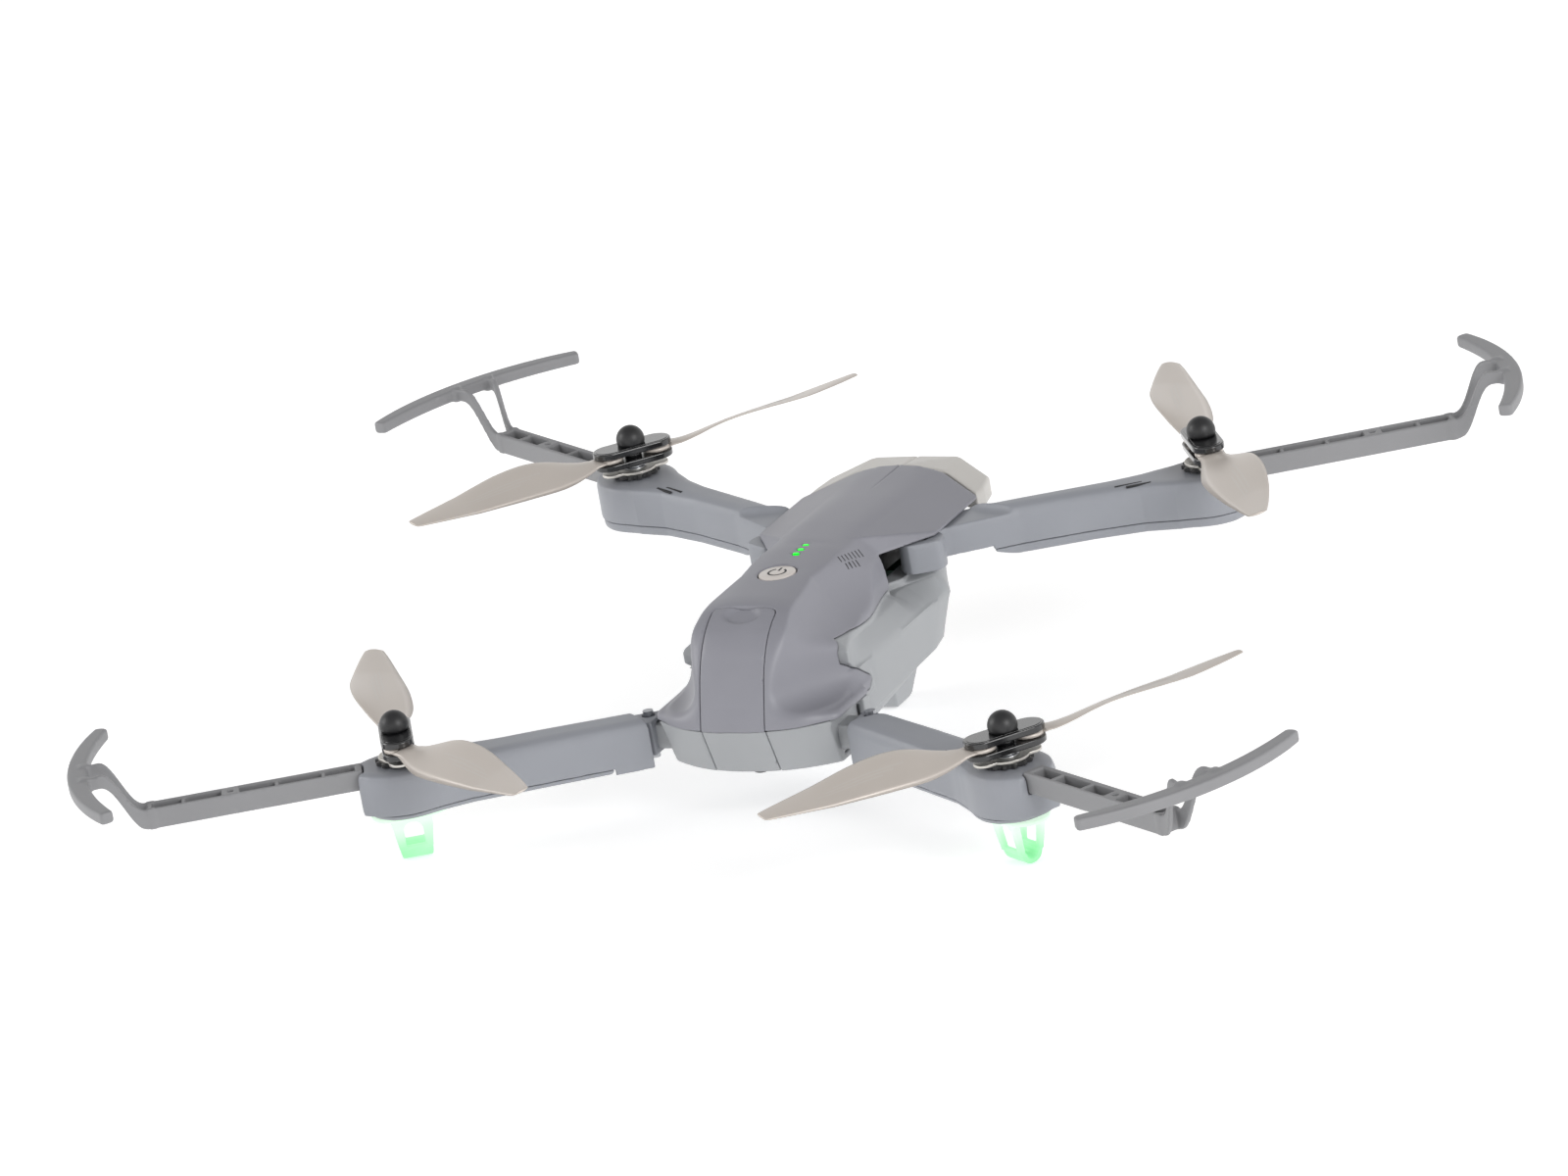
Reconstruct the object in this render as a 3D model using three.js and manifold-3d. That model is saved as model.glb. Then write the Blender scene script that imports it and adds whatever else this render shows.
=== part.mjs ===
// Folding quadcopter drone: a body with a slide-out battery and a tilting nose camera, and four
// folding arms, each with a motor, a two-blade folding propeller and an open propeller guard.
// Millimetres. +Y is the nose, +X the drone's right, +Z up. The pieces are drawn from a datum in
// the symmetry plane, level with the rear propeller caps and in line with the rear motor shafts.
// The last lines move the origin to the ground under the middle of the finished drone.
import * as THREE from 'three';
import { mergeVertices } from 'three/addons/utils/BufferGeometryUtils.js';
import Module from 'manifold-3d';

const wasm = await Module();
wasm.setup();

// ---------- driving dimensions ----------
const GAP = 0.3;                      // clearance between separate pieces
const WALL = 1.8;                     // body shell thickness
const THIN = 1.3;                     // arm shell thickness
const GROUND = -38.7;                 // what the legs and the keel stand on
const EXCESS = 60;                    // how far a cutter runs past what it cuts

const BATTERY_HALF = 9.8;             // half width of the battery strip
const STRIP_TOP_Y = 40.8;             // front edge of the battery strip on the top cover
const BUTTON = { y: 62.7, z: 20.5, r: 5.25 };
const LIGHT_YS = [75.5, 78.8, 82.1];  // the battery level lights
const CAMERA = { y: 136, z: 0, r: 8.6, half: 8 };

const BAND_Z = -10.5;                 // seam between the tail band and the top cover
const RIM_Z = -9.3;                   // top of the top cover's rim, the floor of the scoops
const LEDGE_Z = 4.2;                  // top of the lower shell, under the front arms
const ROOT_Z = 5.5;                   // underside of a front arm's root
const SLOT_TOP = 14.3;                // underside of the top cover's shoulders
const SLOT_Y = 92;                    // rear end of the front arms' slot
const SHOULDER_HALF = 27.4;

const ROTOR = {
  capR: 4.2, pin: 7.2, plateR: 4.6, boltR: 1.0,
  topPlate: [-3.4, -1.5], lowPlate: [-6.9, -5.1], bladeZ: -4.25, bladeRoot: 1.1,
};
const BLADE = { length: 67.4, root: 8, chord: 17.2, tip: 5, twist: 20 };
const GUARD = {
  beamHalf: 3.3, wall: 1.2, height: 5.8, reach: 71, tineRun: 16,
  bumperR: 88, bumperHalf: 2.7, bumperTall: 3.5, bumperLow: -0.9,
};
const MOTOR_R = 8.2;
const ROOT_END = 12;                  // where a rear arm's solid root ends and its cover starts
const TONGUE_Z = [-20.5, -13.5];      // the body's hinge tongue inside a rear arm's root
const FLOW_LENS_Y = 34.4;             // the downward lens under the tail
const BATTERY_FOOT_Y = 28.5;          // front edge of the battery's face under the tail
const SLEEVE = { half: 9, y0: 28.4, y1: 84, z0: -21, z1: 14.5, wall: 1.2 };
const PIN_R = 1.5;                    // arm hinge pins
const ARMS = {
  rear: {
    pivot: [34, 38], angle: -29.9, motor: [92, 0], centre: -4.03, half: 6.7, pod: 11.5,
    top: -10.6, bottom: -24.4, seam: -21.6, beamTop: -10.1, capZ: 0, guardSpan: [-24.2, 24.1],
  },
  front: {
    pivot: [23.3, 106], angle: 31.1, motor: [89.5, 157], centre: 9.5, half: 6.7, pod: 11.5,
    top: 15.7, bottom: 1.5, seam: 4.6, beamTop: 16.8, capZ: 26.5, guardSpan: [-24.4, 23.1],
  },
};
// hub is where a propeller's hub points, swings is how far each blade lies off it (degrees)
const PROPELLERS = [
  { name: 'rear_right', end: 'rear', side: 1, hub: 51, swings: [3.5, 3], turn: -1 },
  { name: 'rear_left', end: 'rear', side: -1, hub: 120, swings: [2, 27], turn: 1 },
  { name: 'front_right', end: 'front', side: 1, hub: 125, swings: [-6.3, -1], turn: 1 },
  { name: 'front_left', end: 'front', side: -1, hub: 46, swings: [8.6, 13], turn: -1 },
];

// ---------- colours ----------
const plastic = (color, roughness = 0.5) =>
  new THREE.MeshStandardMaterial({ color, roughness, metalness: 0 });
const FINISH = {
  cover: plastic(0x85848c), shell: plastic(0x9aa0a4), hood: plastic(0xd2cdc7), arm: plastic(0x8f949c),
  guard: plastic(0x77787b), blade: plastic(0xc8c1ba, 0.4), gloss: plastic(0x17171a, 0.15),
  soft: plastic(0x1c1c1e, 0.7), button: plastic(0xcfc6bd, 0.4), glow: plastic(0xc9f5d4, 0.3),
  light: plastic(0x12e61c, 0.3), board: plastic(0x1f5a3a, 0.6), black: plastic(0x141416, 0.4),
  metal: new THREE.MeshStandardMaterial({ color: 0xb6b2aa, roughness: 0.35, metalness: 0.9 }),
  steel: new THREE.MeshStandardMaterial({ color: 0x8d8f92, roughness: 0.3, metalness: 1 }),
};

// ---------- solids from three.js geometry ----------
const rad = THREE.MathUtils.degToRad;

function solid(geometry) {
  const bare = geometry.index ? geometry.toNonIndexed() : geometry.clone();
  bare.deleteAttribute('normal');
  bare.deleteAttribute('uv');
  const merged = mergeVertices(bare, 1e-4);
  return new wasm.Manifold(new wasm.Mesh({
    numProp: 3,
    vertProperties: new Float32Array(merged.attributes.position.array),
    triVerts: new Uint32Array(merged.index.array),
  }));
}

function geometryOf(manifold) {
  const mesh = manifold.getMesh();
  const geometry = new THREE.BufferGeometry();
  geometry.setAttribute('position', new THREE.BufferAttribute(mesh.vertProperties, 3));
  geometry.setIndex(new THREE.BufferAttribute(mesh.triVerts, 1));
  geometry.computeVertexNormals();
  return geometry;
}

// The same solid on the other side of the plane where the given axis (0 x, 1 y) is zero.
function mirrored(manifold, axis) {
  const geometry = geometryOf(manifold);
  const place = geometry.attributes.position;
  for (let i = 0; i < place.count; i++) place.setComponent(i, axis, -place.getComponent(i, axis));
  const order = geometry.index.array;
  for (let i = 0; i < order.length; i += 3) [order[i], order[i + 1]] = [order[i + 1], order[i]];
  return solid(geometry);
}

const join = (first, ...others) => others.reduce((whole, piece) => whole.add(piece), first);
const cut = (first, ...others) => others.reduce((whole, piece) => whole.subtract(piece), first);

function extruded(outline, depth, curveSegments) {
  const shape = Array.isArray(outline)
    ? new THREE.Shape(outline.map(([a, b]) => new THREE.Vector2(a, b)))
    : outline;
  return new THREE.ExtrudeGeometry(shape, { depth, bevelEnabled: false, curveSegments });
}

// An outline in x, y, standing from z0 to z1.
function prism(outline, z0, z1, curveSegments = 10) {
  return solid(extruded(outline, z1 - z0, curveSegments).translate(0, 0, z0));
}

// An outline in y, z, running from x0 to x1.
function prismX(outline, x0, x1, curveSegments = 10) {
  const flat = extruded(outline, x1 - x0, curveSegments).rotateX(Math.PI / 2).rotateZ(Math.PI / 2);
  return solid(flat.translate(x0, 0, 0));
}

// An outline in x, z, running from y0 to y1.
function prismY(outline, y0, y1, curveSegments = 10) {
  return solid(extruded(outline, y1 - y0, curveSegments).rotateX(Math.PI / 2).translate(0, y1, 0));
}

function box(x0, x1, y0, y1, z0, z1) {
  const block = new THREE.BoxGeometry(x1 - x0, y1 - y0, z1 - z0);
  return solid(block.translate((x0 + x1) / 2, (y0 + y1) / 2, (z0 + z1) / 2));
}

function rod(x, y, r, z0, z1, sides = 24) {
  const round = new THREE.CylinderGeometry(r, r, z1 - z0, sides).rotateX(Math.PI / 2);
  return solid(round.translate(x, y, (z0 + z1) / 2));
}

function rodX(y, z, r, x0, x1, sides = 24) {
  const round = new THREE.CylinderGeometry(r, r, x1 - x0, sides).rotateZ(Math.PI / 2);
  return solid(round.translate((x0 + x1) / 2, y, z));
}

function rodY(x, z, r, y0, y1, sides = 24) {
  const round = new THREE.CylinderGeometry(r, r, y1 - y0, sides);
  return solid(round.translate(x, (y0 + y1) / 2, z));
}

// A profile of [radius, z] points turned about the z axis.
function turned(profile, sides = 24) {
  const lathe = new THREE.LatheGeometry(profile.map(([r, z]) => new THREE.Vector2(r, z)), sides);
  return solid(lathe.rotateX(Math.PI / 2));
}

// A closed skin through rings of equally many points, with a fan over each end.
function skin(rings) {
  const count = rings[0].length;
  const points = rings.flat();
  const faces = [];
  for (let r = 0; r < rings.length - 1; r++) {
    for (let i = 0; i < count; i++) {
      const a = r * count + i;
      const b = r * count + ((i + 1) % count);
      faces.push(a, b, b + count, a, b + count, a + count);
    }
  }
  for (const [ring, flip] of [[rings[0], true], [rings.at(-1), false]]) {
    const start = flip ? 0 : (rings.length - 1) * count;
    const middle = points.length;
    points.push([0, 1, 2].map((k) => ring.reduce((sum, point) => sum + point[k], 0) / count));
    for (let i = 0; i < count; i++) {
      const a = start + i;
      const b = start + ((i + 1) % count);
      faces.push(...(flip ? [middle, b, a] : [middle, a, b]));
    }
  }
  const geometry = new THREE.BufferGeometry();
  geometry.setAttribute('position', new THREE.Float32BufferAttribute(points.flat(), 3));
  geometry.setIndex(faces);
  return solid(geometry);
}

// A straight-sided outline with half-round ends, centred on the origin, along x.
function stadium(half, r) {
  const shape = new THREE.Shape();
  shape.absarc(half, 0, r, -Math.PI / 2, Math.PI / 2);
  shape.absarc(-half, 0, r, Math.PI / 2, Math.PI * 1.5);
  return shape;
}

// Smooth value at y from a short list of [y, value] keys.
function along(keys, y) {
  if (y <= keys[0][0]) return keys[0][1];
  for (let i = 1; i < keys.length; i++) {
    const [y0, v0] = keys[i - 1];
    const [y1, v1] = keys[i];
    if (y <= y1) return v0 + (v1 - v0) * THREE.MathUtils.smoothstep(y, y0, y1);
  }
  return keys.at(-1)[1];
}

// ---------- the body's outer form ----------
const BODY = {
  upperHalf: [[40, 26], [55, 23.4], [66, 22.8], [92, 18.6]],
  lowerHalf: [[40, 26.5], [60, 25.6], [106, 24.6], [122, 18], [150, 15]],
  corner: [[40, 2.6], [60, 3.2], [92, 3.6]],
  crown: [[36, 19.6], [62, 20.5], [80, 21.4], [120, 21.3], [160, 19.6]],
  belly: [[30, -24.6], [60, -25.2], [100, -22], [122, -19], [150, -12]],
  waist: -3, square: 5,
  capStart: 20.5, capDepth: 20, capPower: 2.8, front: 158,
};

// The tail leans forward above the band and below it.
function tailLean(z, y) {
  const lean = z > BAND_Z ? 0.33 * (z - BAND_Z) : -0.376 * (z - BAND_Z);
  const fade = THREE.MathUtils.clamp((78 - y) / 40, 0, 1);
  return lean * fade;
}

// One closed ring round the body; scale shrinks it towards the tail's middle.
function bodyRing(y, scale, inset, sides) {
  const [upperHalf, lowerHalf] = [along(BODY.upperHalf, y) - inset, along(BODY.lowerHalf, y) - inset];
  const up = along(BODY.crown, y) - inset - BODY.waist;
  const down = BODY.waist - along(BODY.belly, y) - inset;
  return Array.from({ length: sides }, (_, i) => {
    const turn = (2 * Math.PI * i) / sides;
    const [c, s] = [Math.cos(turn), Math.sin(turn)];
    const power = 2 / (s >= 0 ? along(BODY.corner, y) : BODY.square);
    const x = scale * (s >= 0 ? upperHalf : lowerHalf) * Math.sign(c) * Math.abs(c) ** power;
    const z = BODY.waist + scale * (s > 0 ? up : down) * Math.sign(s) * Math.abs(s) ** power;
    return [-x, y + tailLean(z, y), z];
  });
}

function bodyForm(inset, sides) {
  const rings = [];
  for (const scale of [0.25, 0.55, 0.78, 0.92, 0.98]) {
    const bulge = (1 - scale ** BODY.capPower) ** (1 / BODY.capPower);
    rings.push(bodyRing(BODY.capStart + inset + BODY.capDepth * (1 - bulge), scale, inset, sides));
  }
  for (const y of [41, 50, 62, 80, 104, 122, BODY.front]) rings.push(bodyRing(y, 1, inset, sides));
  return skin(rings);
}

const bothSides = (piece) => join(piece, mirrored(piece, 0));

// The tail band: a bowed wall that leans forward as it goes down to the belly.
const BAND = { half: 26.9, start: 20.5, bow: 9.4, side: 28.2, foot: -23.9 };
function bandForm(inset, steps) {
  const half = BAND.half - inset;
  const ring = (z, shrink) => {
    const tail = Array.from({ length: steps + 1 }, (_, i) => {
      const x = half * (2 * i / steps - 1);
      const y = BAND.start + inset + shrink + BAND.bow * Math.abs(x / half) ** 2.2;
      return [x, y + tailLean(z, 0), z];
    });
    const side = BAND.side - inset - shrink;
    return [...tail, [side, 35, z], [side, 50, z], [-side, 50, z], [-side, 35, z]];
  };
  return skin([ring(BAND.foot - 0.7 + inset, 0.8), ring(BAND.foot + inset, 0), ring(RIM_Z, 0)]);
}

// The flanks: sculpted side walls of the lower shell, with a dip behind the front arms.
const FLANK = {
  top: [[46.5, 22.4], [54, 22.9], [90, 18], [102.5, 27], [113, 26.8], [122, 19]],
  middle: [[46.5, 24], [50, 24.2], [60, 26.6], [90, 25.6], [102.5, 27], [112, 26.8], [121, 19]],
  bottom: [[46.5, 26.6], [55, 27], [106, 24.6], [112, 23], [118, 18]],
  core: 13, middleZ: -4, bottomZ: -17,
};
function flankForm(inset) {
  const { core, middleZ, bottomZ } = FLANK;
  return skin([46.5, 54, 62, 78, 90, 97, 102.5, 112, 117, 122].map((y) => [
    [core, y, bottomZ], [core, y, LEDGE_Z], [along(FLANK.top, y) - inset, y, LEDGE_Z],
    [along(FLANK.middle, y) - inset, y, middleZ], [along(FLANK.bottom, y) - inset, y, bottomZ],
  ]));
}

// The top cover's side skirt flares out to a tip where it meets the flank.
function skirtForm(inset) {
  return skin([44, 52, 57].map((y) => [
    [FLANK.core, y, -12], [FLANK.core, y, 4], [22.6 - inset, y, 4], [24.3 - inset, y, -3],
    [27 - inset, y, -8], [27.2 - inset, y, -12],
  ]));
}

// ---------- body pieces ----------
const underTail = box(-EXCESS, EXCESS, 0, 45, -EXCESS, BAND_Z);
const outer = join(cut(bodyForm(0, 28), underTail), bandForm(0, 10), bothSides(skirtForm(0)));
const inner = join(cut(bodyForm(WALL, 20), underTail), bandForm(WALL, 6), bothSides(skirtForm(WALL)));

// Room for the rear propellers: a cylinder about each rear motor, down to the band.
const SCOOP_R = 84;
const scoop = bothSides(rod(ARMS.rear.motor[0], 0, SCOOP_R, RIM_Z, EXCESS, 72));
const scoopInside = bothSides(rod(ARMS.rear.motor[0], 0, SCOOP_R + WALL, BAND_Z, EXCESS, 48));

// Side view of the seam between the lower shell and the top cover.
const seam = [
  [0, BAND_Z], [54, BAND_Z], [56, -8.8], [56, -7.5], [47.5, -0.5], [49.5, 5.8], [58, 5.4], [66, LEDGE_Z],
  [170, LEDGE_Z], [170, -EXCESS], [0, -EXCESS],
];
const lowerHalf = prismX(seam, -EXCESS, EXCESS);
const lowerHalfGrown = join(...[[0, GAP], [GAP, 0], [-GAP, 0]].map(([dy, dz]) =>
  prismX(seam.map(([y, z]) => [y + dy, z < -EXCESS / 2 ? z : z + dz]), -EXCESS, EXCESS)));

const flareOutline = (inset) => [
  [SHOULDER_HALF - inset, 108], [SHOULDER_HALF - inset, 136.5], [26 - inset, 138.5], [14.1, 145.9],
  [0, 147.9], [0, 90], [16 - inset, 90], [16.7 - inset, SLOT_Y],
];
const crownProfile = (inset) => [
  [0, 20.9 - inset], [14, 19.6 - inset], [SHOULDER_HALF - inset, 15.2 - inset / 2],
  [SHOULDER_HALF - inset, SLOT_TOP - inset], [0, SLOT_TOP - inset],
];

function topCover() {
  const shoulderOf = (inset) => bothSides(
    prism(flareOutline(inset), SLOT_TOP - 6, EXCESS).intersect(prismY(crownProfile(inset), 80, 160)));
  const seamFront = prism([
    [-EXCESS, 138.2], [-26, 138.2], [-14.1, 145.6], [-5, 147.4], [5, 147.4], [14.1, 145.6], [26, 138.2],
    [EXCESS, 138.2], [EXCESS, 170], [-EXCESS, 170],
  ], -EXCESS, EXCESS);
  const crown = cut(join(cut(outer, scoop), shoulderOf(0)), seamFront);
  const cavity = join(cut(inner, scoopInside), shoulderOf(WALL));
  const slot = bothSides(box(11, EXCESS, SLOT_Y, 150, -EXCESS, SLOT_TOP));
  const lights = LIGHT_YS.map((y) => box(-1.5, 1.5, y - 0.8, y + 0.8, 10, 30));
  return cut(
    crown, lowerHalfGrown, cavity, slot,
    box(-BATTERY_HALF, BATTERY_HALF, 0, STRIP_TOP_Y, -EXCESS, EXCESS),
    box(-EXCESS, EXCESS, 118, 170, -EXCESS, SLOT_TOP - 1),
    rod(0, BUTTON.y, BUTTON.r + GAP, 10, 30, 32), ...lights,
  );
}

// The keel is the front foot, under the camera's bulkhead.
function keel() {
  const ring = (half, y0, y1, z) => [[half, y1, z], [-half, y1, z], [-half, y0, z], [half, y0, z]];
  return skin([
    ring(4.5, 112, 120, GROUND), ring(5.2, 110.5, 121, GROUND + 1.2), ring(9, 103, 122, -27),
    ring(12, 96, 122.5, -19),
  ]);
}

function lowerShell() {
  const [px, py] = ARMS.rear.pivot;
  const roof = LEDGE_Z - WALL;
  const bulkheadY = [121.6, 123.4];
  const flankRoom = flankForm(WALL).intersect(box(-EXCESS, EXCESS, 48.3, 120, -EXCESS, roof));
  const flank = bothSides(cut(flankForm(0).intersect(lowerHalf), flankRoom));
  const roomy = box(-24, 24, 48.3, 120, -16, roof);
  const tub = join(cut(outer.intersect(lowerHalf), join(inner, roomy)), flank);
  const bulkhead = join(outer, bothSides(flankForm(0)))
    .intersect(box(-EXCESS, EXCESS, ...bulkheadY, -EXCESS, LEDGE_Z));
  const chin = box(-EXCESS, EXCESS, bulkheadY[1], 170, -EXCESS, EXCESS);
  // each rear arm's root sits in a pocket, where a tongue reaches into it and carries its pin
  const pocket = bothSides(box(25.4, EXCESS, 29.9, 46.6, -28, BAND_Z));
  const closing = bothSides(box(23.6, 25.4, 29, 47.6, -22, BAND_Z - 0.1).intersect(outer));
  const tongue = bothSides(join(
    rod(px, py, 4, ...TONGUE_Z, 20), box(24, px, py - 4, py + 4, ...TONGUE_Z),
  ));
  const doors = box(-BATTERY_HALF, BATTERY_HALF, 0, BATTERY_FOOT_Y, -EXCESS, EXCESS);
  const batteryBay = box(-SLEEVE.half - GAP, SLEEVE.half + GAP, 20, 90, SLEEVE.z0 - GAP, EXCESS);
  const middle = box(-12.7, 12.7, 48, 121, -18, EXCESS);
  const shell = cut(join(tub, bulkhead, keel()), chin, pocket, doors, batteryBay, middle);
  return cut(
    join(shell, closing, tongue), bothSides(rod(px, py, PIN_R + GAP, -EXCESS, EXCESS, 12)),
    rod(0, FLOW_LENS_Y, 1.9, -30, -20, 16),
  );
}

function hood() {
  const floor = 9.4;
  const outline = (inset) => [
    [26.4 - inset, 138.6 + inset], [26 - inset, 143], [24.6 - inset, 151.6],
    [13 - inset / 2, 158.4 - inset], [0, 159.4 - inset], [0, 148.3], [14.3, 146.2],
  ];
  const profile = (inset) => [
    [0, 20.8 - inset], [14, 19.4 - inset], [SHOULDER_HALF - inset, 14.9 - inset],
    [SHOULDER_HALF - inset, 0], [0, 0],
  ];
  const lean = prismX([
    [130, 21.2], [148, 20.7], [159.5, 19.4], [157.6, floor], [130, floor],
  ], -EXCESS, EXCESS);
  const block = (inset) => prism(outline(inset), floor, 25).intersect(prismY(profile(inset), 130, 165));
  const inside = cut(block(1.6), box(-EXCESS, EXCESS, 100, 170, 19.2, 30));
  const open = box(-EXCESS, EXCESS, 100, 170, -5, floor + 0.6);
  return cut(bothSides(block(0)).intersect(lean), bothSides(inside), open);
}

// The battery: the tail's middle strip as its face, on a sleeve that slides into the body.
function batteryCase() {
  const { half, y0, y1, z0, z1, wall } = SLEEVE;
  const strip = BATTERY_HALF - GAP;
  const face = outer.intersect(join(
    box(-strip, strip, 0, STRIP_TOP_Y - GAP, BAND_Z, EXCESS),
    box(-strip, strip, 0, BATTERY_FOOT_Y - GAP, -EXCESS, BAND_Z),
  ));
  const room = box(wall - half, half - wall, 34, y1 + 6, z0 + wall, z1 - wall);
  const sleeve = box(-half, half, y0, y1, z0, z1).intersect(outer);
  const behind = box(-strip - 1, strip + 1, 36, y1 + 6, z0, z1);
  const hollow = cut(inner, behind, box(-EXCESS, EXCESS, 33, 200, -EXCESS, EXCESS));
  const dent = rodX(35.5, 24.8, 6, -4.6, 4.6, 24);
  return cut(join(cut(face, hollow), sleeve), room, dent);
}

// ---------- arms, in a frame at the hinge pin with x along the arm ----------
// The drone's x and y seen from an arm's frame.
function inArm(arm, x, y) {
  const t = rad(arm.angle);
  const [dx, dy] = [x - arm.pivot[0], y - arm.pivot[1]];
  return [dx * Math.cos(t) + dy * Math.sin(t), -dx * Math.sin(t) + dy * Math.cos(t)];
}

// How far along the arm its motor stands.
const motorAt = (arm) => inArm(arm, ...arm.motor)[0];

function podOutline(arm, inset) {
  const { centre: c } = arm;
  const motor = motorAt(arm);
  const [h, r] = [arm.half - inset, arm.pod - inset];
  const [shoulder, endHalf, end] = [r / 2 + 3.4, 5.6 - inset, motor + 14.5 - inset];
  const shape = new THREE.Shape();
  shape.moveTo(motor - 30, c + h);
  shape.lineTo(motor - 16, c + h + 0.8);
  shape.lineTo(motor - shoulder, c + 0.8 * r);
  shape.absarc(motor, c, r, rad(112), rad(48), true);
  shape.lineTo(end, c + endHalf);
  shape.lineTo(end, c - endHalf);
  shape.absarc(motor, c, r, -rad(48), -rad(112), true);
  shape.lineTo(motor - shoulder, c - 0.8 * r);
  shape.lineTo(motor - 16, c - h - 0.8);
  shape.lineTo(motor - 30, c - h);
  return shape;
}

// An arm's plan, from its root to the end of the motor pod, standing from z0 to z1.
function armBlock(arm, inset, z0, z1) {
  const { centre: c } = arm;
  const h = arm.half - inset;
  const neck = motorAt(arm) - 29;
  const root = arm === ARMS.rear
    ? [inArm(arm, 28.4 + inset, 28.9 + inset), [neck, c - h], [neck, c + h],
      inArm(arm, 28.4 + inset, 44.3 - inset)]
    : [[-2 + inset, 14.5], [-5.4 + inset, 3], [3.6, -5.2 + inset], [16, 1.2 + inset], [24, c - h],
      [neck, c - h], [neck, c + h], [2, c + h]];
  return join(prism(root, z0, z1), prism(podOutline(arm, inset), z0, z1, 4));
}

// What both kinds of arm have cut out of them: the pin's hole, the motor shaft's and the guard's.
function commonCuts(arm) {
  const motor = motorAt(arm);
  return [
    rod(0, 0, PIN_R + GAP, -EXCESS, EXCESS, 12),
    rod(motor, arm.centre, 2.4, arm.top - 5, arm.top + 2, 12),
    guardSocket(arm, motor), ...arrowCuts(arm, motor),
  ];
}

function rearArmShell(arm) {
  const motor = motorAt(arm);
  const side = prismY([
    [-EXCESS, arm.top + 0.1], [30, arm.top + 0.3], [motor - 12, arm.top], [130, arm.top],
    [130, -EXCESS], [-EXCESS, -EXCESS],
  ], -EXCESS, EXCESS);
  const edge = 2.2;
  const bevels = [1, -1].map((s) => prismX([
    [arm.centre + s * (arm.half + 0.01), arm.top - edge],
    [arm.centre + s * (arm.half - edge), arm.top + 0.7],
    [arm.centre + s * (arm.half + 9), arm.top + 4], [arm.centre + s * (arm.half + 9), arm.top - edge],
  ], -20, motor - 18));
  const boss = rod(0, 0, 4.2, arm.bottom, arm.top + 0.1, 20);
  const root = armBlock(arm, 0, arm.bottom, arm.seam + 0.1)
    .intersect(box(-EXCESS, ROOT_END - GAP, -EXCESS, EXCESS, -EXCESS, EXCESS));
  const block = cut(join(armBlock(arm, 0, arm.seam, arm.top + 1).intersect(side), root, boss), ...bevels);
  const beyondRoot = box(ROOT_END, EXCESS * 3, -EXCESS, EXCESS, -EXCESS, EXCESS);
  const inside = armBlock(arm, THIN, -EXCESS, arm.top - THIN).intersect(beyondRoot);
  // the body's tongue swings through this much of the root while the arm folds
  const [z0, z1] = [TONGUE_Z[0] - GAP, TONGUE_Z[1] + GAP];
  const sweep = new THREE.Shape();
  sweep.absarc(0, 0, 15, rad(92), rad(214), false);
  sweep.lineTo(0, 0);
  const strip = (turn) => {
    const flat = new THREE.BoxGeometry(16, 8.8, z1 - z0).translate(8, 0, 0);
    return solid(flat.rotateZ(rad(turn)).translate(0, 0, (z0 + z1) / 2));
  };
  const tongueRoom = join(
    prism(sweep, z0, z1, 12), rod(0, 0, 4.4, z0, z1, 20), strip(100), strip(180 - arm.angle),
  );
  return cut(block, inside, tongueRoom, ...commonCuts(arm));
}

// Where the guard's beam plugs into the end of the arm.
function guardSocket(arm, motor) {
  const half = GUARD.beamHalf + GAP;
  const floor = arm.beamTop - GUARD.height - GAP;
  return box(motor + 10.6, motor + 20, arm.centre - half, arm.centre + half, floor, arm.top + EXCESS);
}

// The arrow that shows which way the propeller turns, and its shaft slits, sunk into the arm's top.
function arrowCuts(arm, motor) {
  const c = arm.centre;
  const [z0, z1] = [arm.top - 0.5, arm.top + 3];
  return [
    prism([[motor - 17.5, c + 2.6], [motor - 20.5, c + 0.8], [motor - 17.5, c - 0.2]], z0, z1),
    box(motor - 27, motor - 18.6, c - 2.1, c - 1.4, z0, z1),
    box(motor - 24, motor - 16, c - 3.9, c - 3.2, z0, z1),
  ];
}

// The corner of a front arm's root that slips under the shoulder only when the arm is folded.
const FOLDED_UNDER = [[4.3, 0], [12.3, -8], [-10, -8], [-10, 0]];

function frontArmShell(arm) {
  const motor = motorAt(arm);
  const top = prismY([
    [-EXCESS, arm.top + 0.2], [motor - 30, arm.top + 0.2], [motor - 12, arm.top], [140, arm.top],
    [140, -EXCESS], [-EXCESS, -EXCESS],
  ], -EXCESS, EXCESS);
  const body = armBlock(arm, 0, arm.seam, arm.top + 1).intersect(top);
  const beyondRoot = box(22, EXCESS * 3, -EXCESS, EXCESS, -EXCESS, EXCESS);
  const inside = armBlock(arm, THIN, -EXCESS, arm.top - THIN).intersect(beyondRoot);
  // the root slips between the lower shell's ledge and the top cover's shoulder, then ramps up
  const [ceiling, floor] = [SLOT_TOP - GAP, ROOT_Z];
  const [a, b] = [inArm(arm, 27.9, 90), inArm(arm, 27.9, 150)];
  const [e, g] = [inArm(arm, 33, 90), inArm(arm, 37, 150)];
  const under = join(
    prism([a, b, [-40, 60], [-40, -40]], ceiling, EXCESS), prism(FOLDED_UNDER, ceiling, EXCESS),
    box(-20, 20.4, -30, 40, -EXCESS, floor),
  );
  const far = [[b[0] - 20, b[1] + 12], [a[0] - 20, a[1] + 12]];
  const ramp = skin([
    [a, b, ...far].map(([x, y]) => [x, y, ceiling + 0.2]), [e, g, ...far].map(([x, y]) => [x, y, 17]),
  ]);
  const barrel = rod(0, 0, 6.5, floor, ceiling, 24);
  return cut(join(cut(body, inside, under, ramp), barrel), ...commonCuts(arm));
}

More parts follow.
